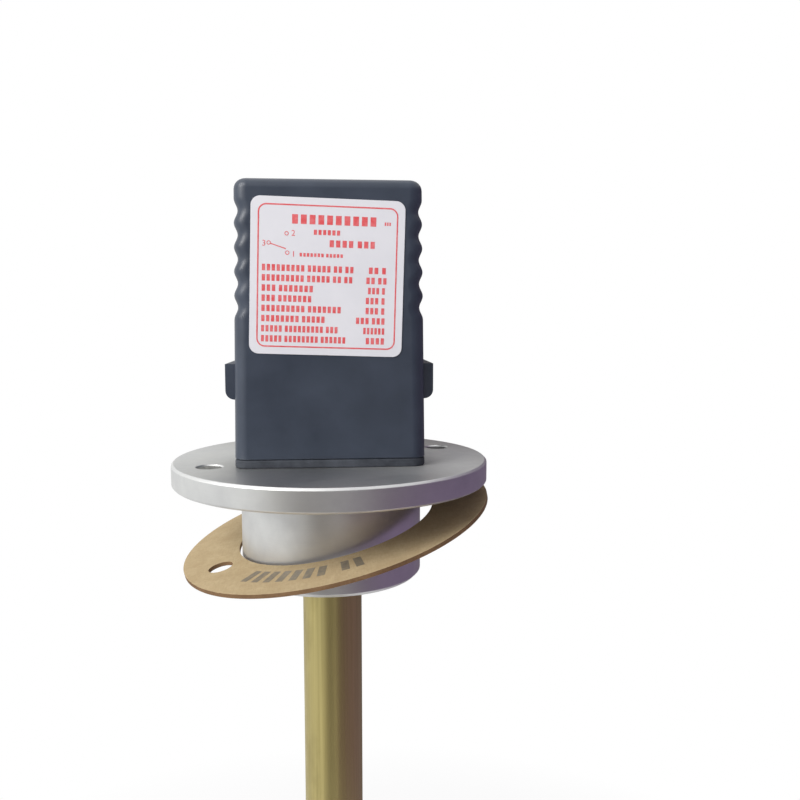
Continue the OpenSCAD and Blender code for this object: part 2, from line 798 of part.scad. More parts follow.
// Hollow hexagon nut that presses the seal round the cable
module gland_nut() {
    color([0.1, 0.11, 0.13]) gland_axis() difference() {
        union() {
            rod(gland_d - 2 * turn_fit, shank_y, nut_y + 0.2);
            intersection() {
                translate([0, 0, nut_y]) cylinder(d = nut_flats / cos(30), h = nut_head_l, $fn = 6);
                rod(nut_flats * 1.1, nut_y, nut_y + nut_head_l);
            }
        }
        rod(throat_d, shank_y - over, nut_y + nut_head_l + over);
    }
}

flange_body();
flange_gasket();
stem_tube();
stem_collar();
stem_seal();
ring_nut();
end_plug();
stop_clips();
stop_washers();
float_shell();
float_lid();
float_magnet();
reed_glass();
reed_blades();
circuit_board();
lead_wires();
wire_grommet();
contact_base();
contact_blades();
earth_blade();
base_screws();
thread_insert();
plug_gasket();
connector_hood();
rating_label();
terminal_insert();
socket_contacts();
terminal_screws();
screw_seal();
captive_ring();
hood_screw();
cable_seal();
cable_washer();
gland_nut();
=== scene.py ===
import json
import math

import bmesh
import bpy
from mathutils import Matrix, Vector


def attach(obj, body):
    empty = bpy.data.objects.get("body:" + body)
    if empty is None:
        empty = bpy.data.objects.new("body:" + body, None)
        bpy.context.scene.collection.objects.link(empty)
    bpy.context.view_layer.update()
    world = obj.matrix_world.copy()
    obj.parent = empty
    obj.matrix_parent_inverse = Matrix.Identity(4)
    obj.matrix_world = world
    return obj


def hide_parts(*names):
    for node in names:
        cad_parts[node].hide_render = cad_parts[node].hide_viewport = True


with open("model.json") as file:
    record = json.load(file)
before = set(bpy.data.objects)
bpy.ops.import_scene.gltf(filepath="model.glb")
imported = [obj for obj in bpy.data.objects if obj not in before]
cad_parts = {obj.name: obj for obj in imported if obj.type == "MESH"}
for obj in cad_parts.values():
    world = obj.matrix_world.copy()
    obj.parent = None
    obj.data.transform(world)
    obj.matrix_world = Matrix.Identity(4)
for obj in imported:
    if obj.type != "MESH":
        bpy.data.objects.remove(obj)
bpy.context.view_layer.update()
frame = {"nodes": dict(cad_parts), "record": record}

mm = 0.001          # every piece is modelled in millimetres and scaled at the end
turn = 2 * math.pi
nodes = frame["nodes"]
slotOf = {part["node"]: part["material_slot"] for part in frame["record"]["subparts"]}
bodyOf = {node: body for body, group in frame["record"]["behaviour"]["bodies"].items() for node in group}
finishes = {}

print("frame loaded:", len(nodes), "nodes")


# node helpers

def colour(red, green, blue):  # sRGB 0-255 to the linear values that Blender mixes
    def linear(value):
        value /= 255
        return value / 12.92 if value <= 0.04045 else ((value + 0.055) / 1.055) ** 2.4
    return (linear(red), linear(green), linear(blue), 1)


def feed(tree, socket, value):
    if isinstance(value, bpy.types.NodeSocket):
        tree.links.new(value, socket)
    else:
        socket.default_value = value


def addNode(tree, kind, sockets=None, **settings):
    node = tree.nodes.new("ShaderNode" + kind)
    for name, value in settings.items():
        setattr(node, name, value)
    for key, value in (sockets or {}).items():
        feed(tree, node.inputs[key], value)
    return node


def startFinish(name, sockets):
    finish = bpy.data.materials.new(name)
    finish.use_nodes = True
    tree = finish.node_tree
    shader = tree.nodes["Principled BSDF"]
    for key, value in sockets.items():
        shader.inputs[key].default_value = value
    place = addNode(tree, "TexCoord").outputs["Object"]
    finishes[name] = finish
    return tree, shader, place


def stretched(tree, place, scale):  # object coordinates in metres, scaled per axis
    return addNode(tree, "Mapping", {"Vector": place, "Scale": scale}).outputs[0]


def noise(tree, place, scale, detail=4, roughness=0.55):
    return addNode(tree, "TexNoise", {
        "Vector": place, "Scale": scale, "Detail": detail, "Roughness": roughness}).outputs["Fac"]


def spread(tree, value, low, high, fromLow=0.3, fromHigh=0.7):
    return addNode(tree, "MapRange", {
        "Value": value, "From Min": fromLow, "From Max": fromHigh,
        "To Min": low, "To Max": high}).outputs[0]


def blendColours(tree, factor, first, second):
    node = addNode(tree, "Mix", data_type="RGBA")
    feed(tree, node.inputs[0], factor)
    feed(tree, node.inputs[6], first)
    feed(tree, node.inputs[7], second)
    return node.outputs[2]


def maths(tree, operation, first, second):
    return addNode(tree, "Math", {0: first, 1: second}, operation=operation).outputs[0]


def bump(tree, height, depth, strength, before=None):  # depth in millimetres
    node = addNode(tree, "Bump", {"Height": height, "Distance": depth * mm, "Strength": strength})
    if before is not None:
        tree.links.new(before, node.inputs["Normal"])
    return node.outputs[0]


def dress(tree, shader, tone, rough, normal=None):
    feed(tree, shader.inputs["Base Color"], tone)
    feed(tree, shader.inputs["Roughness"], rough)
    if normal is not None:
        feed(tree, shader.inputs["Normal"], normal)


def radiusOf(tree, place):  # distance from the Z axis, in metres
    split = addNode(tree, "SeparateXYZ", {0: place})
    flat = addNode(tree, "CombineXYZ", {0: split.outputs[0], 1: split.outputs[1], 2: 0.0})
    return addNode(tree, "VectorMath", {0: flat.outputs[0]}, operation="LENGTH").outputs["Value"]


# finishes

def mouldedFinish(name, base, worn, rough, grain=0.16, depth=0.02):
    # spark-eroded mould grain, faint clouding, paler rubbed edges
    tree, shader, place = startFinish(name, {"Specular IOR Level": 0.5})
    cloud = noise(tree, place, 90, 5)
    fine = noise(tree, place, 1 / (grain * mm), 2, 0.5)
    coarse = noise(tree, place, 1 / (grain * 3.2 * mm), 3, 0.6)
    edges = addNode(tree, "NewGeometry").outputs["Pointiness"]
    rub = maths(tree, "MULTIPLY", spread(tree, edges, 0, 1, 0.52, 0.6), spread(tree, cloud, 0.1, 0.8))
    tone = blendColours(tree, spread(tree, cloud, 0, 0.55), base, worn)
    rubbed = blendColours(tree, maths(tree, "MULTIPLY", rub, 0.35), tone, worn)
    uneven = spread(tree, maths(tree, "ADD", cloud, fine), rough - 0.07, rough + 0.1, 0.7, 1.3)
    height = maths(tree, "ADD", maths(tree, "MULTIPLY", fine, 0.6), maths(tree, "MULTIPLY", coarse, 0.4))
    dress(tree, shader, rubbed, uneven, bump(tree, height, depth, 0.6))


mouldedFinish("hoodPlastic", colour(43, 51, 64), colour(60, 69, 84), 0.38, depth=0.03)
mouldedFinish("nutPlastic", colour(36, 42, 52), colour(52, 60, 72), 0.36, depth=0.02)
mouldedFinish("basePlastic", colour(34, 35, 38), colour(52, 54, 58), 0.46, 0.22, 0.015)
mouldedFinish("insertPlastic", colour(74, 75, 80), colour(92, 94, 99), 0.5, 0.2, 0.015)
mouldedFinish("floatPlastic", colour(40, 42, 46), colour(58, 60, 65), 0.55, 0.3, 0.025)


def rubberFinish(name, base, dusty, rough):  # matte rubber with bloom and fine pitting
    tree, shader, place = startFinish(name, {"Specular IOR Level": 0.35})
    bloom = noise(tree, place, 160, 6, 0.65)
    pits = addNode(tree, "TexVoronoi", {"Vector": place, "Scale": 3800.0}).outputs["Distance"]
    tone = blendColours(tree, spread(tree, bloom, 0, 0.8, 0.4, 0.75), base, dusty)
    dress(tree, shader, tone, spread(tree, bloom, rough - 0.05, rough + 0.12), bump(tree, pits, 0.03, 0.5))


rubberFinish("padRubber", colour(46, 50, 57), colour(82, 87, 95), 0.66)
rubberFinish("sealRubber", colour(24, 24, 26), colour(52, 52, 54), 0.68)


def turnedFinish(name, base, dull, rough, pitch, depth):
    # lathe-cut metal: fine rings round the axis, cloudy oxide, tiny nicks
    tree, shader, place = startFinish(name, {"Metallic": 1.0, "Anisotropic": 0.35})
    radius = radiusOf(tree, place)
    height = addNode(tree, "SeparateXYZ", {0: place}).outputs[2]
    travel = maths(tree, "ADD", radius, height)
    wander = maths(tree, "MULTIPLY", noise(tree, place, 260, 3), 0.12 * mm)
    rings = noise(tree, addNode(tree, "CombineXYZ", {
        0: maths(tree, "ADD", travel, wander), 1: 0.0, 2: 0.0}).outputs[0], 1 / (pitch * mm), 3, 0.7)
    cloud = noise(tree, place, 55, 6, 0.6)
    nicks = addNode(tree, "TexVoronoi", {"Vector": place, "Scale": 420.0}).outputs["Distance"]
    nicked = spread(tree, nicks, 1, 0, 0.02, 0.09)
    patched = maths(tree, "MULTIPLY", nicked, spread(tree, cloud, 0, 0.7, 0.55, 0.7))
    tone = blendColours(tree, spread(tree, cloud, 0, 0.7, 0.35, 0.7), base, dull)
    tone = blendColours(tree, maths(tree, "MULTIPLY", rings, 0.22), tone, dull)
    clouded = spread(tree, cloud, rough - 0.05, rough + 0.1)
    uneven = maths(tree, "ADD", clouded, maths(tree, "MULTIPLY", rings, 0.08))
    ringed = bump(tree, rings, depth, 0.5)
    pitted = bump(tree, maths(tree, "SUBTRACT", 1.0, patched), 0.05, 0.5, ringed)
    dress(tree, shader, tone, uneven, pitted)
    tangent = addNode(tree, "Tangent", direction_type="RADIAL", axis="Z")
    tree.links.new(tangent.outputs[0], shader.inputs["Tangent"])


turnedFinish("turnedAluminium", colour(221, 222, 220), colour(184, 185, 187), 0.38, 0.32, 0.012)
turnedFinish("nutBrass", colour(196, 168, 104), colour(160, 132, 74), 0.34, 0.3, 0.01)


def drawnBrass(name):  # tube drawn along Z: long streaks, patches of tarnish
    tree, shader, place = startFinish(name, {"Metallic": 1.0, "Anisotropic": 0.45})
    streaks = noise(tree, stretched(tree, place, (1.0, 1.0, 0.012)), 1900, 4, 0.7)
    broad = noise(tree, stretched(tree, place, (1.0, 1.0, 0.05)), 420, 3, 0.6)
    tarnish = noise(tree, stretched(tree, place, (1.0, 1.0, 0.35)), 60, 6, 0.62)
    tone = blendColours(tree, spread(tree, streaks, 0, 0.6), colour(196, 182, 123), colour(162, 149, 95))
    tone = blendColours(tree, spread(tree, broad, 0, 0.45), tone, colour(178, 168, 119))
    tone = blendColours(tree, spread(tree, tarnish, 0, 0.5, 0.5, 0.72), tone, colour(118, 104, 66))
    duller = spread(tree, tarnish, 0, 0.12, 0.45, 0.7)
    uneven = maths(tree, "ADD", spread(tree, streaks, 0.3, 0.42), duller)
    dress(tree, shader, tone, uneven, bump(tree, streaks, 0.02, 0.35))


drawnBrass("stemBrass")


def platedFinish(name, base, dull, rough, grain):  # plated or phosphated metal
    tree, shader, place = startFinish(name, {"Metallic": 1.0})
    cloud = noise(tree, place, 240, 5, 0.6)
    fine = noise(tree, place, grain, 3, 0.6)
    tone = blendColours(tree, spread(tree, cloud, 0, 0.8), base, dull)
    uneven = spread(tree, maths(tree, "ADD", cloud, fine), rough - 0.06, rough + 0.12, 0.7, 1.3)
    dress(tree, shader, tone, uneven, bump(tree, fine, 0.01, 0.4))


platedFinish("screwSteel", colour(206, 206, 202), colour(172, 170, 160), 0.3, 2600.0)
platedFinish("springSteel", colour(142, 142, 146), colour(104, 104, 110), 0.36, 2200.0)
platedFinish("contactMetal", colour(214, 210, 196), colour(184, 178, 160), 0.28, 3200.0)


def fibreFinish(name, light, dark, rough):  # pressed fibre sheet: flecks, short hairs, soft mottling
    tree, shader, place = startFinish(name, {"Specular IOR Level": 0.25})
    mottle = noise(tree, place, 190, 6, 0.62)
    hairs = noise(tree, stretched(tree, place, (1.0, 0.22, 1.0)), 2600, 3, 0.6)
    crossed = noise(tree, stretched(tree, place, (0.22, 1.0, 1.0)), 2300, 3, 0.6)
    weave = maths(tree, "MULTIPLY", maths(tree, "ADD", hairs, crossed), 0.5)
    flecks = addNode(tree, "TexVoronoi", {"Vector": place, "Scale": 900.0}).outputs["Distance"]
    tone = blendColours(tree, spread(tree, mottle, 0, 0.6), light, dark)
    tone = blendColours(tree, spread(tree, weave, 0, 0.5, 0.4, 0.62), tone, dark)
    tone = blendColours(tree, spread(tree, flecks, 0.35, 0, 0.04, 0.16), tone, colour(140, 108, 66))
    dress(tree, shader, tone, spread(tree, mottle, rough - 0.06, rough + 0.08), bump(tree, weave, 0.05, 0.45))


fibreFinish("gasketFibre", colour(187, 168, 133), colour(161, 140, 106), 0.78)
fibreFinish("gasketEdge", colour(132, 104, 74), colour(94, 70, 48), 0.85)


def coatedPaper(name, base, shade):  # label stock with a faint sheen and slight creases
    tree, shader, place = startFinish(name, {"Specular IOR Level": 0.5})
    soft = noise(tree, place, 70, 4)
    tooth = noise(tree, place, 3400, 3, 0.6)
    tone = blendColours(tree, spread(tree, soft, 0, 0.7), base, shade)
    waves = bump(tree, soft, 0.12, 0.35)
    dress(tree, shader, tone, spread(tree, soft, 0.34, 0.46), bump(tree, tooth, 0.006, 0.4, waves))


coatedPaper("labelPaper", colour(216, 216, 220), colour(205, 206, 211))


def printInk(name, base, faded):  # screen print, thinner in places
    tree, shader, place = startFinish(name, {"Specular IOR Level": 0.4})
    patch = noise(tree, place, 900, 4, 0.7)
    tone = blendColours(tree, spread(tree, patch, 0, 0.7, 0.4, 0.7), base, faded)
    dress(tree, shader, tone, spread(tree, patch, 0.4, 0.55))


printInk("redInk", colour(210, 78, 82), colour(220, 132, 134))
printInk("greyInk", colour(112, 104, 90), colour(150, 136, 110))


def laminateBoard(name):
    tree, shader, place = startFinish(name, {"Specular IOR Level": 0.45})
    strands = noise(tree, stretched(tree, place, (1.0, 1.0, 0.15)), 1800, 3, 0.6)
    tone = blendColours(tree, spread(tree, strands, 0, 1), colour(176, 154, 98), colour(148, 124, 72))
    dress(tree, shader, tone, spread(tree, strands, 0.4, 0.55), bump(tree, strands, 0.01, 0.5))


def wireSleeve(name):
    tree, shader, place = startFinish(name, {"Specular IOR Level": 0.5})
    cloud = noise(tree, place, 500, 4)
    tone = blendColours(tree, spread(tree, cloud, 0, 1), colour(176, 30, 28), colour(150, 24, 24))
    dress(tree, shader, tone, spread(tree, cloud, 0.38, 0.52), bump(tree, cloud, 0.01, 0.4))


def clearGlass(name):
    tree, shader, place = startFinish(name, {"IOR": 1.5, "Transmission Weight": 0.95})
    ripple = noise(tree, place, 700, 3)
    tone = blendColours(tree, spread(tree, ripple, 0, 1), colour(222, 240, 232), colour(206, 230, 220))
    dress(tree, shader, tone, spread(tree, ripple, 0.02, 0.07), bump(tree, ripple, 0.01, 0.3))


def groundFerrite(name):
    tree, shader, place = startFinish(name, {"Specular IOR Level": 0.5})
    grains = addNode(tree, "TexVoronoi", {"Vector": place, "Scale": 2600.0}).outputs["Distance"]
    tone = blendColours(tree, spread(tree, grains, 0, 1, 0, 0.5), colour(70, 71, 75), colour(50, 50, 54))
    dress(tree, shader, tone, spread(tree, grains, 0.35, 0.6, 0, 0.5), bump(tree, grains, 0.01, 0.5))


laminateBoard("boardLaminate")
wireSleeve("wireSleeve")
clearGlass("reedGlass")
groundFerrite("ferrite")


def finishFor(slot):  # the slot hood_plastic gets the finish hoodPlastic, and so on
    first, *rest = slot.split("_")
    return finishes[first + "".join(word.title() for word in rest)]


print("finishes ready:", len(finishes))


# mesh helpers

weld = 0.002        # points nearer than this become one
crumb = 0.0005      # edges shorter than this go
fit = 0.03          # clearance between pieces that touch
past = 3            # how far a cutter reaches beyond what it cuts


def welded(bm):
    bmesh.ops.remove_doubles(bm, verts=bm.verts, dist=weld)
    bmesh.ops.dissolve_degenerate(bm, edges=bm.edges, dist=crumb)
    return bm


def spun(profile, steps, closed=True):  # (radius, height) points turned round Z
    bm = bmesh.new()
    ring = [bm.verts.new((radius, 0, height)) for radius, height in profile]
    pairs = list(zip(ring, ring[1:])) + ([(ring[-1], ring[0])] if closed else [])
    edges = [bm.edges.new(pair) for pair in pairs]
    bmesh.ops.spin(bm, geom=ring + edges, cent=(0, 0, 0), axis=(0, 0, 1), angle=turn,
                   steps=steps, use_merge=True)
    bmesh.ops.recalc_face_normals(bm, faces=welded(bm).faces)
    return bm


def rod(radius, low, high, steps):
    return spun([(0, low), (radius, low), (radius, high), (0, high)], steps, False)


def pipe(inner, outer, low, high, steps):
    return spun([(inner, low), (outer, low), (outer, high), (inner, high)], steps)


def bevelEdges(bm, width, segments=2, sharper=30, where=None):
    limit = math.radians(sharper)
    edges = [edge for edge in bm.edges if edge.calc_face_angle(0) > limit]
    if where:
        edges = [edge for edge in edges if where(edge)]
    if edges:
        bmesh.ops.bevel(bm, geom=edges, offset=width, offset_type="OFFSET", segments=segments,
                        profile=0.5, affect="EDGES", material=-1, clamp_overlap=True)
    return bm


def vertsOf(geom):
    return [part for part in geom if isinstance(part, bmesh.types.BMVert)]


def above(height):  # picks the edges that lie wholly above that height
    return lambda edge: min(vert.co.z for vert in edge.verts) > height


def below(height):
    return lambda edge: max(vert.co.z for vert in edge.verts) < height


def flatPatch(bm, width, depth, place=Matrix()):
    shape = place @ Matrix.Diagonal((width, depth, 1, 1))
    bmesh.ops.create_grid(bm, x_segments=1, y_segments=1, size=0.5, matrix=shape)


def roundedPlate(width, depth, corner, height, segments=8):  # lies on z = 0, centred
    bm = bmesh.new()
    flatPatch(bm, width, depth)
    bmesh.ops.bevel(bm, geom=list(bm.verts), offset=corner, offset_type="OFFSET", segments=segments,
                    profile=0.5, affect="VERTICES", material=-1)
    if height:
        top = bmesh.ops.extrude_face_region(bm, geom=list(bm.faces))["geom"]
        bmesh.ops.translate(bm, vec=(0, 0, height), verts=vertsOf(top))
        bmesh.ops.recalc_face_normals(bm, faces=bm.faces)
    return bm


def moved(bm, offset=(0, 0, 0), rotation=None, centre=(0, 0, 0)):
    if rotation is not None:
        bmesh.ops.rotate(bm, cent=centre, matrix=rotation, verts=bm.verts)
    bmesh.ops.translate(bm, vec=offset, verts=bm.verts)
    return bm


def placed(bm, name):  # hands a bmesh over to a new object
    mesh = bpy.data.meshes.new(name)
    bm.to_mesh(mesh)
    bm.free()
    thing = bpy.data.objects.new(name, mesh)
    bpy.context.scene.collection.objects.link(thing)
    return thing


def addTo(bm, other):  # puts the other shape in with this one
    scrap = bpy.data.meshes.new("scrap")
    other.to_mesh(scrap)
    other.free()
    bm.from_mesh(scrap)
    bpy.data.meshes.remove(scrap)


def combined(body, cutters=(), joined=(), kept=()):  # joins, then cuts, and hands back a bmesh
    thing = placed(body, "shape")
    helpers = []
    for operation, tools in (("UNION", joined), ("DIFFERENCE", cutters), ("INTERSECT", kept)):
        for tool in tools:
            helper = placed(tool, "helper")
            helpers.append(helper)
            cut = thing.modifiers.new("cut", "BOOLEAN")
            cut.operation = operation
            cut.solver = "EXACT"
            cut.object = helper
    bpy.context.view_layer.update()
    shaped = thing.evaluated_get(bpy.context.evaluated_depsgraph_get())
    bm = bmesh.new()
    bm.from_mesh(shaped.to_mesh())
    for gone in helpers + [thing]:
        bpy.data.objects.remove(gone)
    return welded(bm)


def alongY(bm, height):  # lays a shape that was made along Z along +Y, at that height
    return moved(bm, (0, 0, height), Matrix.Rotation(math.radians(-90), 3, "X"))


def finishPiece(name, bm, node=None, finish=None, body=None, slot=None, sharper=33, weigh=True):
    # the finish, body and slot follow the node that the piece replaces, unless they are given
    limit = math.radians(sharper)
    for face in bm.faces:
        face.smooth = True
    for edge in bm.edges:
        edge.smooth = edge.calc_face_angle(0) < limit
    bmesh.ops.scale(bm, vec=(mm, mm, mm), verts=bm.verts)
    piece = placed(bm, name)
    slot = slot or slotOf[node]
    for look in [finishes[entry] for entry in finish] if finish else [finishFor(slot)]:
        piece.data.materials.append(look)
    if weigh:
        steady = piece.modifiers.new("steadyShading", "WEIGHTED_NORMAL")
        steady.keep_sharp = True
    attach(piece, body or bodyOf[node])
    if node:
        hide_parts(node)


# connector hood

hood = {
    "width": 41.6, "depth": 30.0, "height": 59.9, "foot": 7.05, "wall": 2.4, "draft": 0.8,
    "edgeRound": 3.0, "crown": 2.2, "flutes": 5, "topFlute": 6.7, "pitch": 5.1, "fluteDepth": 0.8,
    "footEdge": 0.35, "lugOut": 2.2, "lugHeight": 7.8, "lugUp": 12.8, "lugLength": 22.0, "lugRoot": 1.2,
    "lugEdge": 0.3, "recess": 8.0, "recessDepth": 5.0, "recessLip": 0.45, "screwBore": 4.3,
    "columnWide": 12.0, "columnSlim": 8.3, "columnFoot": 37.05, "columnStep": 7.0, "cavityBelow": 5.0,
    "glandDown": 20.9, "glandBore": 16.0, "glandWall": 3.0, "glandLength": 10.0, "glandEdge": 0.6,
    "glandLip": 0.5, "throat": 9.5, "throatLong": 5.5,
}
hood["top"] = hood["foot"] + hood["height"]
hood["glandUp"] = hood["top"] - hood["glandDown"]


def fluteAt(height):
    lowest = hood["height"] - hood["topFlute"] - (hood["flutes"] - 1) * hood["pitch"]
    turns = (height - lowest) / hood["pitch"]
    if turns < -0.5 or turns > hood["flutes"] - 0.5:
        return 0
    return hood["fluteDepth"] * (1 + math.cos(turn * turns)) / 2


def makeHoodBody():
    bm = roundedPlate(hood["width"], hood["depth"], hood["edgeRound"], 0, 10)
    lowest = hood["height"] - hood["topFlute"] - (hood["flutes"] - 0.5) * hood["pitch"]
    steps = 12 * hood["flutes"]
    levels = [lowest + hood["pitch"] * hood["flutes"] * i / steps for i in range(steps + 1)]
    levels = [0, lowest / 2] + levels + [hood["height"]]
    geom = list(bm.faces)
    for start, end in zip(levels, levels[1:]):
        grown = bmesh.ops.extrude_face_region(bm, geom=geom)["geom"]
        lean = hood["draft"] * (end - start) / hood["height"]
        shift = lean + fluteAt(end) - fluteAt(start)
        for vert in vertsOf(grown):
            vert.co.z = end
            vert.co.x -= shift * math.copysign(1, vert.co.x)
            if vert.co.y > 0:
                vert.co.y -= lean
        top = next(f for f in grown if isinstance(f, bmesh.types.BMFace))
        geom = [top] + list(top.edges)
    bmesh.ops.recalc_face_normals(bm, faces=bm.faces)
    bevelEdges(bm, hood["crown"], 6, 60, above(hood["height"] - 0.01))
    bevelEdges(bm, hood["footEdge"], 3, 60, below(0.01))
    return moved(bm, (0, 0, hood["foot"]))


def makeLug(side):
    bm = bmesh.new()
    inner = hood["width"] / 2 - hood["lugRoot"]
    outer = hood["width"] / 2 - hood["draft"] * hood["lugUp"] / hood["height"] + hood["lugOut"]
    bmesh.ops.create_cube(bm, size=1)
    bmesh.ops.scale(bm, vec=(outer - inner, hood["lugLength"], hood["lugHeight"]), verts=bm.verts)

    def lowOuter(edge):
        return all(v.co.x > 0 and v.co.z < 0 for v in edge.verts)
    bevelEdges(bm, hood["lugHeight"] / 4, 8, 60, lowOuter)
    bevelEdges(bm, hood["lugEdge"], 3, 40, lambda edge: all(v.co.x > 0 for v in edge.verts))
    moved(bm, ((inner + outer) / 2, 0, hood["foot"] + hood["lugUp"] + hood["lugHeight"] / 2))
    if side < 0:
        bmesh.ops.scale(bm, vec=(-1, 1, 1), verts=bm.verts)
        bmesh.ops.recalc_face_normals(bm, faces=bm.faces)
    return bm


def makeHoodCavity():
    thin = hood["wall"] + hood["draft"]
    bm = roundedPlate(hood["width"] - 2 * hood["wall"], hood["depth"] - 2 * thin, hood["edgeRound"] / 2,
                      hood["height"] - hood["wall"] + hood["cavityBelow"])
    for vert in bm.verts:
        if vert.co.z > 1:
            vert.co.x -= math.copysign(hood["draft"], vert.co.x)
    return moved(bm, (0, 0, hood["foot"] - hood["cavityBelow"]))


def makeColumn():
    top = hood["top"] - hood["wall"] / 2
    wide, slim = hood["columnWide"] / 2, hood["columnSlim"] / 2
    foot, step = hood["columnFoot"], hood["top"] - hood["columnStep"]
    return spun([(0, foot), (slim, foot), (slim, step), (wide, step), (wide, top), (0, top)], 64, False)


def makeBoss():
    start, end = hood["depth"] / 2 - hood["wall"], hood["depth"] / 2 + hood["glandLength"]
    radius = hood["glandBore"] / 2 + hood["glandWall"]
    bm = rod(radius, start, end, 96)
    bevelEdges(bm, hood["glandEdge"], 4, 60, above(end - 0.01))
    return alongY(bm, hood["glandUp"])


def recessCutter():
    low, top, lip = hood["top"] - hood["recessDepth"], hood["top"], hood["recessLip"]
    radius, bore = hood["recess"] / 2, hood["screwBore"] / 2
    return spun([(0, 0), (bore, 0), (bore, low), (radius, low), (radius, top - lip),
                 (radius + lip, top + 0.01), (radius + lip, top + past), (0, top + past)], 64, False)


def glandCutter():
    seat, mouth, lip = hood["depth"] / 2, hood["depth"] / 2 + hood["glandLength"], hood["glandLip"]
    radius, throat, start = hood["glandBore"] / 2, hood["throat"] / 2, seat - hood["throatLong"]
    bm = spun([(0, start), (throat, start), (throat, seat), (radius, seat), (radius, mouth - lip),
               (radius + lip, mouth + 0.01), (radius + lip, mouth + past), (0, mouth + past)], 96, False)
    return alongY(bm, hood["glandUp"])


shell = combined(makeHoodBody(), [makeHoodCavity()], [makeLug(1), makeLug(-1), makeBoss()])
shell = combined(shell, [recessCutter(), glandCutter()], [makeColumn()])
finishPiece("connectorHood", shell, "connector_hood")
print("connector hood done")


# label

label = {
    "width": 32.5, "height": 33.0, "corner": 2.0, "thick": 0.2, "side": -0.4, "down": 20.8, "turn": 1.7,
    "borderIn": 1.5, "borderLine": 0.3, "borderCorner": 1.8, "inkLift": 0.004, "inkThick": 0.02,
    "rowStart": -13.75, "firstRow": 1.73, "rowPitch": 2.135, "letterTall": 1.36, "edge": 0.06,
}
contactSign = {  # the changeover contact: three rings, its arm and its digits
    "rings": ((-12.4, 6.86), (-8.5, 4.9), (-8.7, 8.9)), "ringRadius": 0.45, "ringLine": 0.16,
    "armStart": (-12.0, 6.7), "armEnd": (-8.8, 5.7), "armLine": 0.22,
    "digits": (("3", -13.4, 6.7), ("2", -7.3, 8.95), ("1", -7.2, 4.6)), "digitSize": 1.7,
}
labelRows = [  # letters in each word, where the words end, letters of the value, where it starts and ends
    ((9, 5, 2, 2), 5.5, (2, 1), 8.8, 12.4),
    ((9, 5, 2, 2), 5.3, (2, 2), 8.3, 12.6),
    ((3, 7), -3.0, (3, 1), 8.7, 12.3),
    ((3, 7), -3.3, (3, 1), 8.3, 12.3),
    ((9, 7), 3.0, (3, 1), 8.3, 12.3),
    ((8, 5), -0.4, (3, 3), 6.3, 12.4),
    ((5, 9, 3), 2.4, (6,), 7.9, 12.4),
    ((5, 8, 6), 4.1, (4,), 8.5, 12.4),
]
labelHead = [  # the rows above the table: height, letters in each word, start, end, height of a letter
    (11.95, (10,), -7.6, 10.1, 1.95),
    (11.6, (3,), 11.9, 13.2, 0.7),
    (9.35, (6,), -3.0, 2.5, 1.05),
    (7.08, (4, 3), 0.35, 9.9, 1.45),
    (4.58, (7, 5), -5.9, 3.2, 0.75),
]


def onHood(bm):  # from the label's own flat drawing to the hood's front
    moved(bm, rotation=Matrix.Rotation(math.radians(90), 3, "X"))
    moved(bm, rotation=Matrix.Rotation(math.radians(label["turn"]), 3, "Y"))
    return moved(bm, (label["side"], -hood["depth"] / 2, hood["top"] - label["down"]))


def wordsBetween(bm, start, end, height, words, tall):  # a row of plain blocks, one for each letter
    gap, space = 0.5, 1.05  # as shares of a block's width
    count = sum(words)
    unit = (end - start) / (count + gap * (count - len(words)) + space * (len(words) - 1))
    left = start
    for letters in words:
        for _ in range(letters):
            flatPatch(bm, unit, tall, Matrix.Translation((left + unit / 2, height, 0)))
            left += unit * (1 + gap)
        left += unit * (space - gap)


def ringPatch(bm, x, y, radius, line):
    spot = Matrix.Translation((x, y, 0))
    made = bmesh.ops.create_circle(bm, cap_ends=True, radius=radius, segments=20, matrix=spot)["verts"]
    face = made[0].link_faces[0]
    bmesh.ops.inset_region(bm, faces=[face], thickness=line, use_boundary=True, use_even_offset=True)
    bmesh.ops.delete(bm, geom=[face], context="FACES_ONLY")


def linePatch(bm, start, end, line):
    start, end = Vector((*start, 0)), Vector((*end, 0))
    across = end - start
    turned = Matrix.Rotation(math.atan2(across.y, across.x), 4, "Z")
    flatPatch(bm, across.length, line, Matrix.Translation((start + end) / 2) @ turned)


def digitPatch(bm, digit, x, y, size):
    text = bpy.data.curves.new("digit", "FONT")
    text.body = digit
    text.size = size
    text.align_x = text.align_y = "CENTER"
    thing = bpy.data.objects.new("digit", text)
    bpy.context.scene.collection.objects.link(thing)
    bpy.context.view_layer.update()
    flat = bmesh.new()
    flat.from_mesh(thing.evaluated_get(bpy.context.evaluated_depsgraph_get()).to_mesh())
    addTo(bm, moved(flat, (x, y, 0)))
    bpy.data.objects.remove(thing)


def inked(bm):  # gives flat print its thin coat of ink
    lifted = bmesh.ops.extrude_face_region(bm, geom=list(bm.faces))["geom"]
    bmesh.ops.translate(bm, vec=(0, 0, label["inkThick"]), verts=vertsOf(lifted))
    bmesh.ops.recalc_face_normals(bm, faces=bm.faces)
    return bm


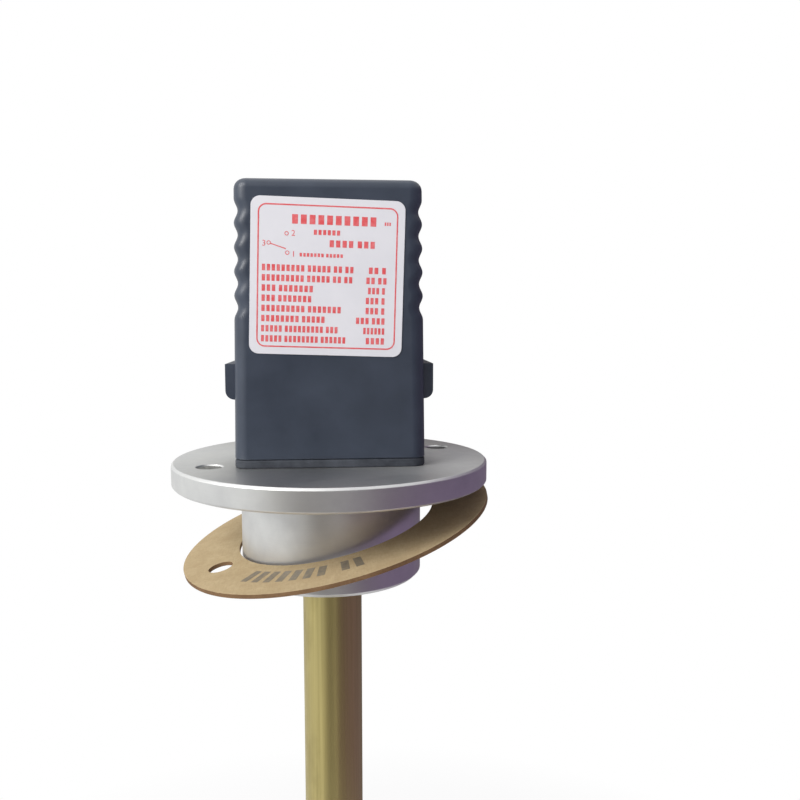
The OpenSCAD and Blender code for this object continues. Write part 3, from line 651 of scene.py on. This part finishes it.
def makePrint():
    bm = roundedPlate(label["width"] - 2 * label["borderIn"], label["height"] - 2 * label["borderIn"],
                      label["borderCorner"], 0, 10)
    whole = list(bm.faces)
    bmesh.ops.inset_region(bm, faces=whole, thickness=label["borderLine"],
                           use_boundary=True, use_even_offset=True)
    bmesh.ops.delete(bm, geom=whole, context="FACES_ONLY")
    for height, words, start, end, tall in labelHead:
        wordsBetween(bm, start, end, height, words, tall)
    for x, y in contactSign["rings"]:
        ringPatch(bm, x, y, contactSign["ringRadius"], contactSign["ringLine"])
    linePatch(bm, contactSign["armStart"], contactSign["armEnd"], contactSign["armLine"])
    for digit, x, y in contactSign["digits"]:
        digitPatch(bm, digit, x, y, contactSign["digitSize"])
    for row, (words, end, value, valueStart, valueEnd) in enumerate(labelRows):
        height = label["firstRow"] - row * label["rowPitch"]
        wordsBetween(bm, label["rowStart"], end, height, words, label["letterTall"])
        wordsBetween(bm, valueStart, valueEnd, height, value, label["letterTall"])
    return onHood(moved(inked(bm), (0, 0, label["thick"] + label["inkLift"])))


plate = roundedPlate(label["width"], label["height"], label["corner"], label["thick"], 10)
bevelEdges(plate, label["edge"], 2, 60, above(label["thick"] - 0.01))
finishPiece("ratingLabel", onHood(plate), "rating_label")
finishPiece("labelPrint", makePrint(), finish=["redInk"], body="connector", slot="label_paper", weigh=False)
print("label done")


# rubber pad under the hood

pad = {
    "width": 41.6, "depth": 30.0, "corner": 3.0, "low": 5.2, "thick": 1.8, "window": 23.9, "edge": 0.35,
}
rubber = roundedPlate(pad["width"], pad["depth"], pad["corner"], pad["thick"], 10)
bevelEdges(rubber, pad["edge"], 3, 60)
window = rod(pad["window"] / 2, -past, pad["thick"] + past, 96)
finishPiece("plugPad", moved(combined(rubber, [window]), (0, 0, pad["low"])), "plug_gasket")


# flange with its spigot

flange = {
    "radius": 36.5, "thick": 5.2, "chamfer": 0.5, "spigot": 21.0, "drop": 22.0, "spigotChamfer": 0.8,
    "pocket": 13.48, "pocketFloor": -5.8, "nutSeat": 9.03, "nutFloor": -12.0, "stemBore": 7.03,
    "hole": 2.75, "holeCircle": 29.0, "firstHole": 204, "holes": 2, "lip": 0.3,
    "screwHole": 1.28, "screwCircle": 11.05, "screwFloor": -11.8, "screwAngles": (45, 225), "edge": 0.1,
}


def turnedBy(angle, bm):  # degrees round the stem's axis
    return moved(bm, rotation=Matrix.Rotation(math.radians(angle), 3, "Z"))


def atHoles(shape):  # the same cutter at each bolt hole
    angles = [flange["firstHole"] + 360 * i / flange["holes"] for i in range(flange["holes"])]
    return [turnedBy(angle, shape()) for angle in angles]


def flangeHole():
    radius, lip, top = flange["hole"], flange["lip"], flange["thick"]
    bm = spun([(0, -past), (radius + lip, -past), (radius + lip, -0.01), (radius, lip), (radius, top - lip),
               (radius + lip, top + 0.01), (radius + lip, top + past), (0, top + past)], 48, False)
    return moved(bm, (flange["holeCircle"], 0, 0))


def smallScrewHole(angle):
    bm = rod(flange["screwHole"], flange["screwFloor"], flange["pocketFloor"] + past, 32)
    return turnedBy(angle, moved(bm, (flange["screwCircle"], 0, 0)))


def makeFlange():
    f = flange
    bm = spun([
        (f["stemBore"], -f["drop"]), (f["spigot"] - f["spigotChamfer"], -f["drop"]),
        (f["spigot"], f["spigotChamfer"] - f["drop"]), (f["spigot"], 0),
        (f["radius"] - f["chamfer"], 0), (f["radius"], f["chamfer"]),
        (f["radius"], f["thick"] - f["chamfer"]), (f["radius"] - f["chamfer"], f["thick"]),
        (f["pocket"], f["thick"]), (f["pocket"], f["pocketFloor"]), (f["nutSeat"], f["pocketFloor"]),
        (f["nutSeat"], f["nutFloor"]), (f["stemBore"], f["nutFloor"])], 192)

    def outer(edge):
        return all(math.hypot(v.co.x, v.co.y) > f["spigot"] - 1 for v in edge.verts)
    bevelEdges(bm, f["edge"], 2, 30, outer)
    return combined(bm, atHoles(flangeHole) + [smallScrewHole(angle) for angle in f["screwAngles"]])


finishPiece("flangeBody", makeFlange(), "flange_body", sharper=24)
print("flange and pad done")


# loose fibre gasket, hanging tilted on the spigot

gasket = {
    "radius": 36.5, "bore": 23.41, "low": -1.2, "high": -0.3, "tilt": 13.75, "highSide": 18,
    "pivotOut": 43.652, "pivotUp": -0.9, "edge": 0.1,
}


def gasketHole():
    return moved(rod(flange["hole"], -past, past, 40), (flange["holeCircle"], 0, 0))


def hung(bm):  # tilts what lies flat under the flange to the way the gasket hangs
    way = math.radians(gasket["highSide"])
    pivot = Vector((math.cos(way), math.sin(way), 0)) * gasket["pivotOut"]
    pivot.z = gasket["pivotUp"]
    axis = Vector((-math.sin(way), math.cos(way), 0))
    return moved(bm, rotation=Matrix.Rotation(math.radians(-gasket["tilt"]), 3, axis), centre=pivot)


def makeGasket():
    bm = pipe(gasket["bore"], gasket["radius"], gasket["low"], gasket["high"], 192)
    bm = combined(bm, atHoles(gasketHole))
    for face in bm.faces:
        face.material_index = 1 if abs(face.normal.z) < 0.5 else 0
    bevelEdges(bm, gasket["edge"], 2, 60)
    return hung(bm)


gasketWords = {  # radius and sizes in millimetres; first, step and space in degrees
    "radius": 28.8, "tall": 4.8, "wide": 1.7, "first": 230, "step": 5.6, "space": 4.0, "letters": (7, 2),
}


def makeGasketPrint():  # plain blocks along the rim, one for each letter
    bm = bmesh.new()
    angle = gasketWords["first"]
    outwards = Matrix.Translation((gasketWords["radius"], 0, 0))
    for letters in gasketWords["letters"]:
        for _ in range(letters):
            spot = Matrix.Rotation(math.radians(angle), 4, "Z") @ outwards
            flatPatch(bm, gasketWords["tall"], gasketWords["wide"], spot)
            angle += gasketWords["step"]
        angle += gasketWords["space"]
    return hung(moved(inked(bm), (0, 0, gasket["high"] + label["inkLift"])))


finishPiece("flangeGasket", makeGasket(), "flange_gasket", ["gasketFibre", "gasketEdge"])
finishPiece("gasketPrint", makeGasketPrint(), finish=["greyInk"], body="gasket", slot="gasket_fibre",
            weigh=False)


# stem, its end plug and its stops

stem = {
    "radius": 7.0, "wall": 1.0, "low": -196.0, "high": -5.2, "groove": 0.5, "grooveTall": 1.06,
    "lowClip": -193.0, "highClip": -129.5, "clip": 1.0, "clipRim": 2.5, "clipGap": 3.0,
    "washer": 11.0, "washerThick": 1.2, "lowWasher": -192.0, "highWasher": -130.7,
    "plugBrim": -196.8, "plugLow": -200.0, "plugTop": -188.0, "edge": 0.06, "plugEdge": 0.08,
    "clipEdge": 0.14, "washerEdge": 0.2,
}


def makeTube():
    outer, inner, cut = stem["radius"], stem["radius"] - stem["wall"], stem["radius"] - stem["groove"]
    profile = [(outer, stem["low"])]
    for clip in (stem["lowClip"], stem["highClip"]):
        low, high = clip - fit, clip - fit + stem["grooveTall"]
        profile += [(outer, low), (cut, low), (cut, high), (outer, high)]
    profile += [(outer, stem["high"]), (inner, stem["high"]), (inner, stem["low"])]
    return bevelEdges(spun(profile, 96), stem["edge"], 2, 60)


def makeEndPlug():
    outer, inner, brim = stem["radius"], stem["radius"] - stem["wall"] - fit, stem["plugBrim"]
    bend = [turn / 4 * i / 16 for i in range(17)]
    dome = [(outer * math.sin(a), brim - (brim - stem["plugLow"]) * math.cos(a)) for a in bend]
    bm = spun(dome + [(outer, stem["low"] - fit), (inner, stem["low"] - fit),
                      (inner, stem["plugTop"]), (0, stem["plugTop"])], 96, False)
    return bevelEdges(bm, stem["plugEdge"], 2, 60)


def makeClip(bm, low):  # open ring with round tips
    outer = stem["radius"] + stem["clipRim"]
    inner = stem["radius"] - stem["groove"] + fit
    gap = math.asin(stem["clipGap"] / 2 / ((outer + inner) / 2))
    start = [bm.verts.new((r, 0, z)) for r, z in (
        (inner, low), (outer, low), (outer, low + stem["clip"]), (inner, low + stem["clip"]))]
    face = bm.faces.new(start)
    bmesh.ops.rotate(bm, cent=(0, 0, 0), matrix=Matrix.Rotation(turn / 4 + gap, 3, "Z"), verts=start)
    bmesh.ops.spin(bm, geom=start + list(face.edges) + [face], cent=(0, 0, 0), axis=(0, 0, 1),
                   angle=turn - 2 * gap, steps=72)


clips = bmesh.new()
for height in (stem["lowClip"], stem["highClip"]):
    makeClip(clips, height)
bmesh.ops.recalc_face_normals(clips, faces=welded(clips).faces)
finishPiece("stopClips", bevelEdges(clips, stem["clipEdge"], 2, 60), "stop_clips")

washers = bmesh.new()
for height in (stem["lowWasher"], stem["highWasher"]):
    single = pipe(stem["radius"] + fit, stem["washer"], height, height + stem["washerThick"], 80)
    addTo(washers, bevelEdges(single, stem["washerEdge"], 3, 60))
finishPiece("stopWashers", washers, "stop_washers")
finishPiece("stemTube", makeTube(), "stem_tube")
finishPiece("endPlug", makeEndPlug(), "end_plug")
print("gasket and stem done")


# float

floatBody = {
    "radius": 20.0, "bore": 7.7, "low": -190.75, "high": -150.75, "lidThick": 3.0, "round": 2.2,
    "wall": 2.0, "floor": 3.0, "tube": 9.3, "step": 1.5, "magnetUp": 14.0, "magnetTall": 10.0,
    "magnetShelf": 2.76, "sleeveGap": 0.1, "sleeveWall": 1.6, "seam": 0.22, "edge": 0.3,
}


def cornerPoints(radius, height, size, start):  # quarter round at an outer corner, start in degrees
    angles = [math.radians(start + 90 * i / 8) for i in range(9)]
    return [(radius + size * math.cos(a), height + size * math.sin(a)) for a in angles]


def makeFloatShell():
    f = floatBody
    low, lid = f["low"], f["high"] - f["lidThick"]
    shoulder = f["tube"] + f["sleeveGap"] + f["magnetShelf"]
    inside = f["radius"] - f["step"] - f["wall"]
    foot = cornerPoints(f["radius"] - f["round"], low + f["round"], f["round"], 270)
    bm = spun([(f["bore"], low)] + foot + [
        (f["radius"], lid - f["seam"]), (f["radius"] - f["seam"], lid), (f["radius"] - f["step"], lid),
        (f["radius"] - f["step"], lid - f["step"]), (inside, lid - f["step"] - f["wall"]),
        (inside, low + f["floor"]), (shoulder, low + f["floor"]), (shoulder, low + f["magnetUp"]),
        (f["tube"], low + f["magnetUp"]), (f["tube"], lid - fit), (f["bore"], lid - fit)], 128)
    return bevelEdges(bm, f["edge"], 3, 60, below(low + 0.01))


def makeFloatLid():
    f = floatBody
    top, lid, low = f["high"], f["high"] - f["lidThick"], f["low"]
    inner, hold = f["tube"] + f["sleeveGap"], low + f["magnetUp"] + f["magnetTall"] + fit
    outer = inner + f["sleeveWall"]
    inside = f["radius"] - f["step"] - f["wall"]
    plug, step, seat = f["radius"] - f["step"] - fit, lid - f["step"] + fit, lid + fit
    shoulder = cornerPoints(f["radius"] - f["round"], top - f["round"], f["round"], 0)
    bm = spun([(f["bore"], lid), (inner, lid), (inner, hold), (outer, hold), (outer, lid), (inside, lid),
               (inside, step), (plug, step), (plug, seat), (f["radius"] - f["seam"], seat),
               (f["radius"], seat + f["seam"])] + shoulder + [(f["bore"], top)], 128)
    return bevelEdges(bm, f["edge"], 3, 60, above(top - 0.01))


finishPiece("floatShell", makeFloatShell(), "float_shell")
finishPiece("floatLid", makeFloatLid(), "float_lid")
print("float done")


# captive screw, gland nut, cable washer and seal

screw = {
    "shank": 1.75, "low": -1.3, "headLow": 62.8, "headTall": 3.0, "head": 3.25, "slot": 0.8,
    "slotDeep": 1.4, "threadTop": 9.0, "pitch": 0.6, "threadDeep": 0.32, "threadRoot": 0.1,
    "threadWide": 0.56, "threadFlat": 0.08, "threadStart": 0.5, "threadShort": 1.2, "tip": 0.3,
    "edge": 0.35, "underEdge": 0.12,
}


def makeScrew():
    low, tip, threadTop, under = screw["low"], screw["tip"], screw["threadTop"], screw["headLow"]
    top = under + screw["headTall"]
    core = screw["shank"] - screw["threadDeep"]
    bm = spun([(0, low), (core - tip, low), (core, low + tip), (core, threadTop),
               (screw["shank"], threadTop + tip), (screw["shank"], under), (screw["head"], under),
               (screw["head"], top), (0, top)], 64, False)
    bevelEdges(bm, screw["edge"], 4, 60, above(top - 0.01))

    def underHead(edge):
        return all(abs(v.co.z - under) < 0.01 and v.co.xy.length > screw["head"] - 0.25 for v in edge.verts)
    bevelEdges(bm, screw["underEdge"], 2, 60, underHead)
    slot = bmesh.new()
    bmesh.ops.create_cube(slot, size=1)
    bmesh.ops.scale(slot, vec=(3 * screw["head"], screw["slot"], 2 * screw["slotDeep"]), verts=slot.verts)
    bm = combined(bm, [moved(slot, (0, 0, top))])
    crest, root = screw["shank"], core - screw["threadRoot"]
    wide, flat = screw["threadWide"], screw["threadFlat"]
    ridge = [bm.verts.new((radius, 0, low + screw["threadStart"] + up)) for radius, up in (
        (root, 0), (crest, (wide - flat) / 2), (crest, (wide + flat) / 2), (root, wide))]
    face = bm.faces.new(ridge)
    turns = (threadTop - low - screw["threadShort"]) / screw["pitch"]
    steps = int(28 * turns)
    bmesh.ops.spin(bm, geom=ridge + list(face.edges) + [face], cent=(0, 0, 0), axis=(0, 0, 1),
                   angle=turn * turns, steps=steps, dvec=(0, 0, screw["pitch"] * turns / steps))
    bmesh.ops.recalc_face_normals(bm, faces=bm.faces)
    return bm


nut = {
    "flats": 19.0, "low": 25.2, "long": 6.0, "shank": 7.95, "shankLow": 22.2, "shankEdge": 0.4,
    "shankInto": 0.4, "bore": 4.75, "mouth": 1.0, "mouthDeep": 0.9, "corner": 10.45, "edge": 0.25,
    "backSlope": (1.2, 0.5, 0.45), "frontSlope": (1.6, 0.4, 0.75),  # inwards, beyond the face, into the face
}


def makeGlandNut():
    low, end, across = nut["low"], nut["low"] + nut["long"], nut["flats"] / math.sqrt(3)
    bm = bmesh.new()
    bmesh.ops.create_cone(bm, cap_ends=True, segments=6, radius1=across, radius2=across, depth=nut["long"])
    bevelEdges(turnedBy(30, moved(bm, (0, 0, (low + end) / 2))), nut["edge"], 3, 40)
    turned = nut["corner"]  # the corners are turned off on a lathe
    backIn, backOut, backEnd = nut["backSlope"]
    frontIn, frontOut, frontEnd = nut["frontSlope"]
    blank = spun([(0, low - backOut), (turned - backIn, low - backOut), (turned, low + backEnd),
                  (turned, end - frontEnd), (turned - frontIn, end + frontOut),
                  (0, end + frontOut)], 96, False)
    start, edge, wide, into = nut["shankLow"], nut["shankEdge"], nut["shank"], low + nut["shankInto"]
    shank = spun([(0, start), (wide - edge, start), (wide, start + edge), (wide, into), (0, into)], 96, False)
    hole, mouth = nut["bore"], nut["bore"] + nut["mouth"]
    bore = spun([(0, start - past), (hole, start - past), (hole, end - nut["mouthDeep"]),
                 (mouth, end + 0.01), (mouth, end + past), (0, end + past)], 72, False)
    bm = combined(bm, kept=[blank])
    return alongY(combined(bm, [bore], [shank]), hood["glandUp"])


cable = {  # what presses on a cable in the gland
    "outer": 7.97, "sealLow": 15.0, "sealHigh": 21.0, "sealBore": 4.25, "sealEdge": 0.5,
    "washerHigh": 22.0, "washerBore": 4.75, "washerEdge": 0.12,
}
washer = pipe(cable["washerBore"], cable["outer"], cable["sealHigh"], cable["washerHigh"], 80)
seal = pipe(cable["sealBore"], cable["outer"], cable["sealLow"], cable["sealHigh"], 80)
bevelEdges(washer, cable["washerEdge"], 2, 60)
bevelEdges(seal, cable["sealEdge"], 4, 60)

finishPiece("hoodScrew", makeScrew(), "hood_screw")
finishPiece("glandNut", makeGlandNut(), "gland_nut", ["nutPlastic"])
finishPiece("cableWasher", alongY(washer, hood["glandUp"]), "cable_washer")
finishPiece("cableSeal", alongY(seal, hood["glandUp"]), "cable_seal")
print("screw and gland done")


# small inner pieces: the frame's own shapes with broken edges

softened = {  # piece: (node, edge width)
    "contactBase": ("contact_base", 0.18), "contactBlades": ("contact_blades", 0.1),
    "earthBlade": ("earth_blade", 0.1), "baseScrews": ("base_screws", 0.12),
    "threadInsert": ("thread_insert", 0.12), "terminalInsert": ("terminal_insert", 0.15),
    "socketContacts": ("socket_contacts", 0.06), "terminalScrews": ("terminal_screws", 0.12),
    "captiveRing": ("captive_ring", 0.15), "screwSeal": ("screw_seal", 0.12),
    "ringNut": ("ring_nut", 0.12), "stemCollar": ("stem_collar", 0.12),
    "circuitBoard": ("circuit_board", 0.08),
}


def makeSoftened(node, width):
    bm = bmesh.new()
    bm.from_mesh(nodes[node].data)
    bmesh.ops.scale(bm, vec=(1 / mm, 1 / mm, 1 / mm), verts=bm.verts)
    bmesh.ops.remove_doubles(bm, verts=bm.verts, dist=weld)
    bmesh.ops.dissolve_limit(bm, angle_limit=math.radians(0.4), verts=bm.verts, edges=bm.edges)
    return bevelEdges(bm, width, 2, 50)


for piece, (node, width) in softened.items():
    finishPiece(piece, makeSoftened(node, width), node)

for node, thing in nodes.items():
    if not thing.hide_render:
        finish = finishFor(slotOf[node])
        if thing.material_slots:
            for entry in thing.material_slots:
                entry.material = finish
        else:
            thing.data.materials.append(finish)
        print("frame's own shape kept:", node)
print("inner pieces done")


# floor, light and camera

studio = {  # metres and degrees, lens and sensor in millimetres; the camera has the photograph's view
    "floor": -0.2003, "floorSize": 6.0, "whiteNear": 0.45, "fadeStart": 0.08, "fadeEnd": 0.24, "sky": 0.8,
    "lens": 35.42, "sensor": 36.0, "clip": 0.005, "cameraSpot": (0.0016, -0.1846, 0.0367),
    "cameraTurn": (84.36, 0, -4.55), "cardRadius": 0.14, "cardLow": -0.2, "cardHigh": 0.13,
    "footLight": 1.35, "footLow": -0.12, "footHigh": -0.03,
}
lamps = [  # name, place, size, power, tint
    ("keyLamp", (-0.34, -0.26, 0.3), 0.3, 2.6, (1.0, 0.99, 0.97)),
    ("fillLamp", (0.6, -0.45, 0.2), 0.5, 0.3, (0.93, 0.92, 1.0)),
    ("topLamp", (-0.1, 0.1, 0.6), 0.5, 0.45, (1.0, 1.0, 1.0)),
]
cards = [  # name, start and end in degrees from the front, tones from start to end
    ("frontCard", -46, 4, [(0, (250, 250, 248)), (0.3, (178, 175, 171)), (0.55, (118, 112, 109)),
                           (0.88, (96, 90, 88)), (1, (160, 154, 148))]),
    ("sideCard", 11, 180, [(0, (120, 108, 108)), (0.05, (104, 92, 102)), (0.3, (120, 103, 130)),
                           (0.6, (124, 107, 134)), (0.72, (118, 108, 120)), (0.86, (112, 106, 108)),
                           (1, (128, 124, 122))]),
    ("backCard", -180, -134, [(0, (128, 124, 122)), (0.25, (172, 171, 169)), (0.6, (214, 214, 212)),
                              (1, (240, 240, 238))]),
]


def seenRay(tree):  # 1 for what the camera sees, straight, mirrored or through glass
    path = addNode(tree, "LightPath")
    mirrored = maths(tree, "MAXIMUM", path.outputs["Is Glossy Ray"], path.outputs["Is Transmission Ray"])
    return maths(tree, "MAXIMUM", path.outputs["Is Camera Ray"], mirrored)


def makeFloor():  # it runs into the white further out, and can't be seen from below
    bm = bmesh.new()
    flatPatch(bm, studio["floorSize"], studio["floorSize"])
    floor = placed(moved(bm, (0, 0, studio["floor"])), "floor")
    tree, shader, place = startFinish("paleFloor", {"Roughness": 0.9, "Specular IOR Level": 0.1})
    cloud = noise(tree, place, 3, 2)
    feed(tree, shader.inputs["Base Color"],
         blendColours(tree, spread(tree, cloud, 0, 1), colour(246, 246, 246), colour(242, 242, 242)))
    seen = seenRay(tree)
    away = spread(tree, radiusOf(tree, place), studio["whiteNear"], 1, studio["fadeStart"], studio["fadeEnd"])
    white = addNode(tree, "Emission", {"Color": (1, 1, 1, 1), "Strength": 1.0})
    mixed = addNode(tree, "MixShader", {0: maths(tree, "MULTIPLY", seen, away),
                                        1: shader.outputs[0], 2: white.outputs[0]})
    under = addNode(tree, "NewGeometry").outputs["Backfacing"]
    clear = addNode(tree, "BsdfTransparent")
    oneSided = addNode(tree, "MixShader", {0: under, 1: mixed.outputs[0], 2: clear.outputs[0]})
    tree.links.new(oneSided.outputs[0], tree.nodes["Material Output"].inputs["Surface"])
    floor.data.materials.append(finishes["paleFloor"])


def makeSky():  # white behind the object and in what metal mirrors; softer for the light itself
    world = bpy.data.worlds.new("studioSky")
    bpy.context.scene.world = world
    world.use_nodes = True
    tree = world.node_tree
    tree.nodes.clear()
    way = addNode(tree, "TexCoord").outputs["Generated"]
    across = addNode(tree, "SeparateXYZ", {0: way})
    sideways = spread(tree, across.outputs[0], 0, 1, -0.8, 0.8)
    tint = blendColours(tree, sideways, colour(255, 255, 255), colour(150, 142, 156))
    soft = addNode(tree, "Background", {"Color": tint, "Strength": studio["sky"]})
    white = addNode(tree, "Background", {"Color": (1, 1, 1, 1), "Strength": 1.0})
    both = addNode(tree, "MixShader", {0: seenRay(tree), 1: soft.outputs[0], 2: white.outputs[0]})
    output = addNode(tree, "OutputWorld")
    tree.links.new(both.outputs[0], output.inputs["Surface"])


def addCard(name, start, end, tones):  # curved card beside the object that glows in the given tones, brighter low down, seen only by what mirrors: it stands in for light and dark surroundings in the reflections
    bm = bmesh.new()
    edge = [bm.verts.new((0, -studio["cardRadius"], studio[height])) for height in ("cardLow", "cardHigh")]
    bmesh.ops.rotate(bm, cent=(0, 0, 0), matrix=Matrix.Rotation(math.radians(start), 3, "Z"), verts=edge)
    bmesh.ops.spin(bm, geom=edge + [bm.edges.new(edge)], cent=(0, 0, 0), axis=(0, 0, 1),
                   angle=math.radians(end - start), steps=24)
    bmesh.ops.recalc_face_normals(bm, faces=bm.faces)
    card = placed(bm, name)
    tree, shader, place = startFinish(name, {"Roughness": 1.0})
    split = addNode(tree, "SeparateXYZ", {0: place})
    turned = maths(tree, "ARCTAN2", split.outputs[0], maths(tree, "MULTIPLY", split.outputs[1], -1.0))
    along = spread(tree, turned, 0, 1, math.radians(start), math.radians(end))
    ramp = addNode(tree, "ValToRGB", {0: along})
    stops = ramp.color_ramp.elements
    for stop, (position, tone) in zip(stops, (tones[0], tones[-1])):
        stop.position = position
        stop.color = colour(*tone)
    for position, tone in tones[1:-1]:
        stops.new(position).color = colour(*tone)
    strength = spread(tree, split.outputs[2], studio["footLight"], 1, studio["footLow"], studio["footHigh"])
    glow = addNode(tree, "Emission", {"Color": ramp.outputs[0], "Strength": strength})
    tree.links.new(glow.outputs[0], tree.nodes["Material Output"].inputs["Surface"])
    card.data.materials.append(finishes[name])
    card.visible_camera = card.visible_diffuse = card.visible_shadow = card.visible_transmission = False


def addLamp(name, spot, size, power, tint):
    lamp = bpy.data.lights.new(name, "AREA")
    lamp.size = size
    lamp.energy = power
    lamp.color = tint
    thing = bpy.data.objects.new(name, lamp)
    thing.location = spot
    thing.rotation_euler = (Vector((0, 0, 0)) - Vector(spot)).to_track_quat("-Z", "Y").to_euler()
    bpy.context.scene.collection.objects.link(thing)


def makeCamera():
    lens = bpy.data.cameras.new("camera")
    lens.lens = studio["lens"]
    lens.sensor_width = studio["sensor"]
    lens.clip_start = studio["clip"]
    camera = bpy.data.objects.new("camera", lens)
    camera.location = studio["cameraSpot"]
    camera.rotation_euler = [math.radians(angle) for angle in studio["cameraTurn"]]
    bpy.context.scene.collection.objects.link(camera)
    bpy.context.scene.camera = camera


makeFloor()
makeSky()
for card in cards:
    addCard(*card)
for lamp in lamps:
    addLamp(*lamp)
makeCamera()
bpy.context.scene.view_settings.view_transform = "Standard"
print("studio done")
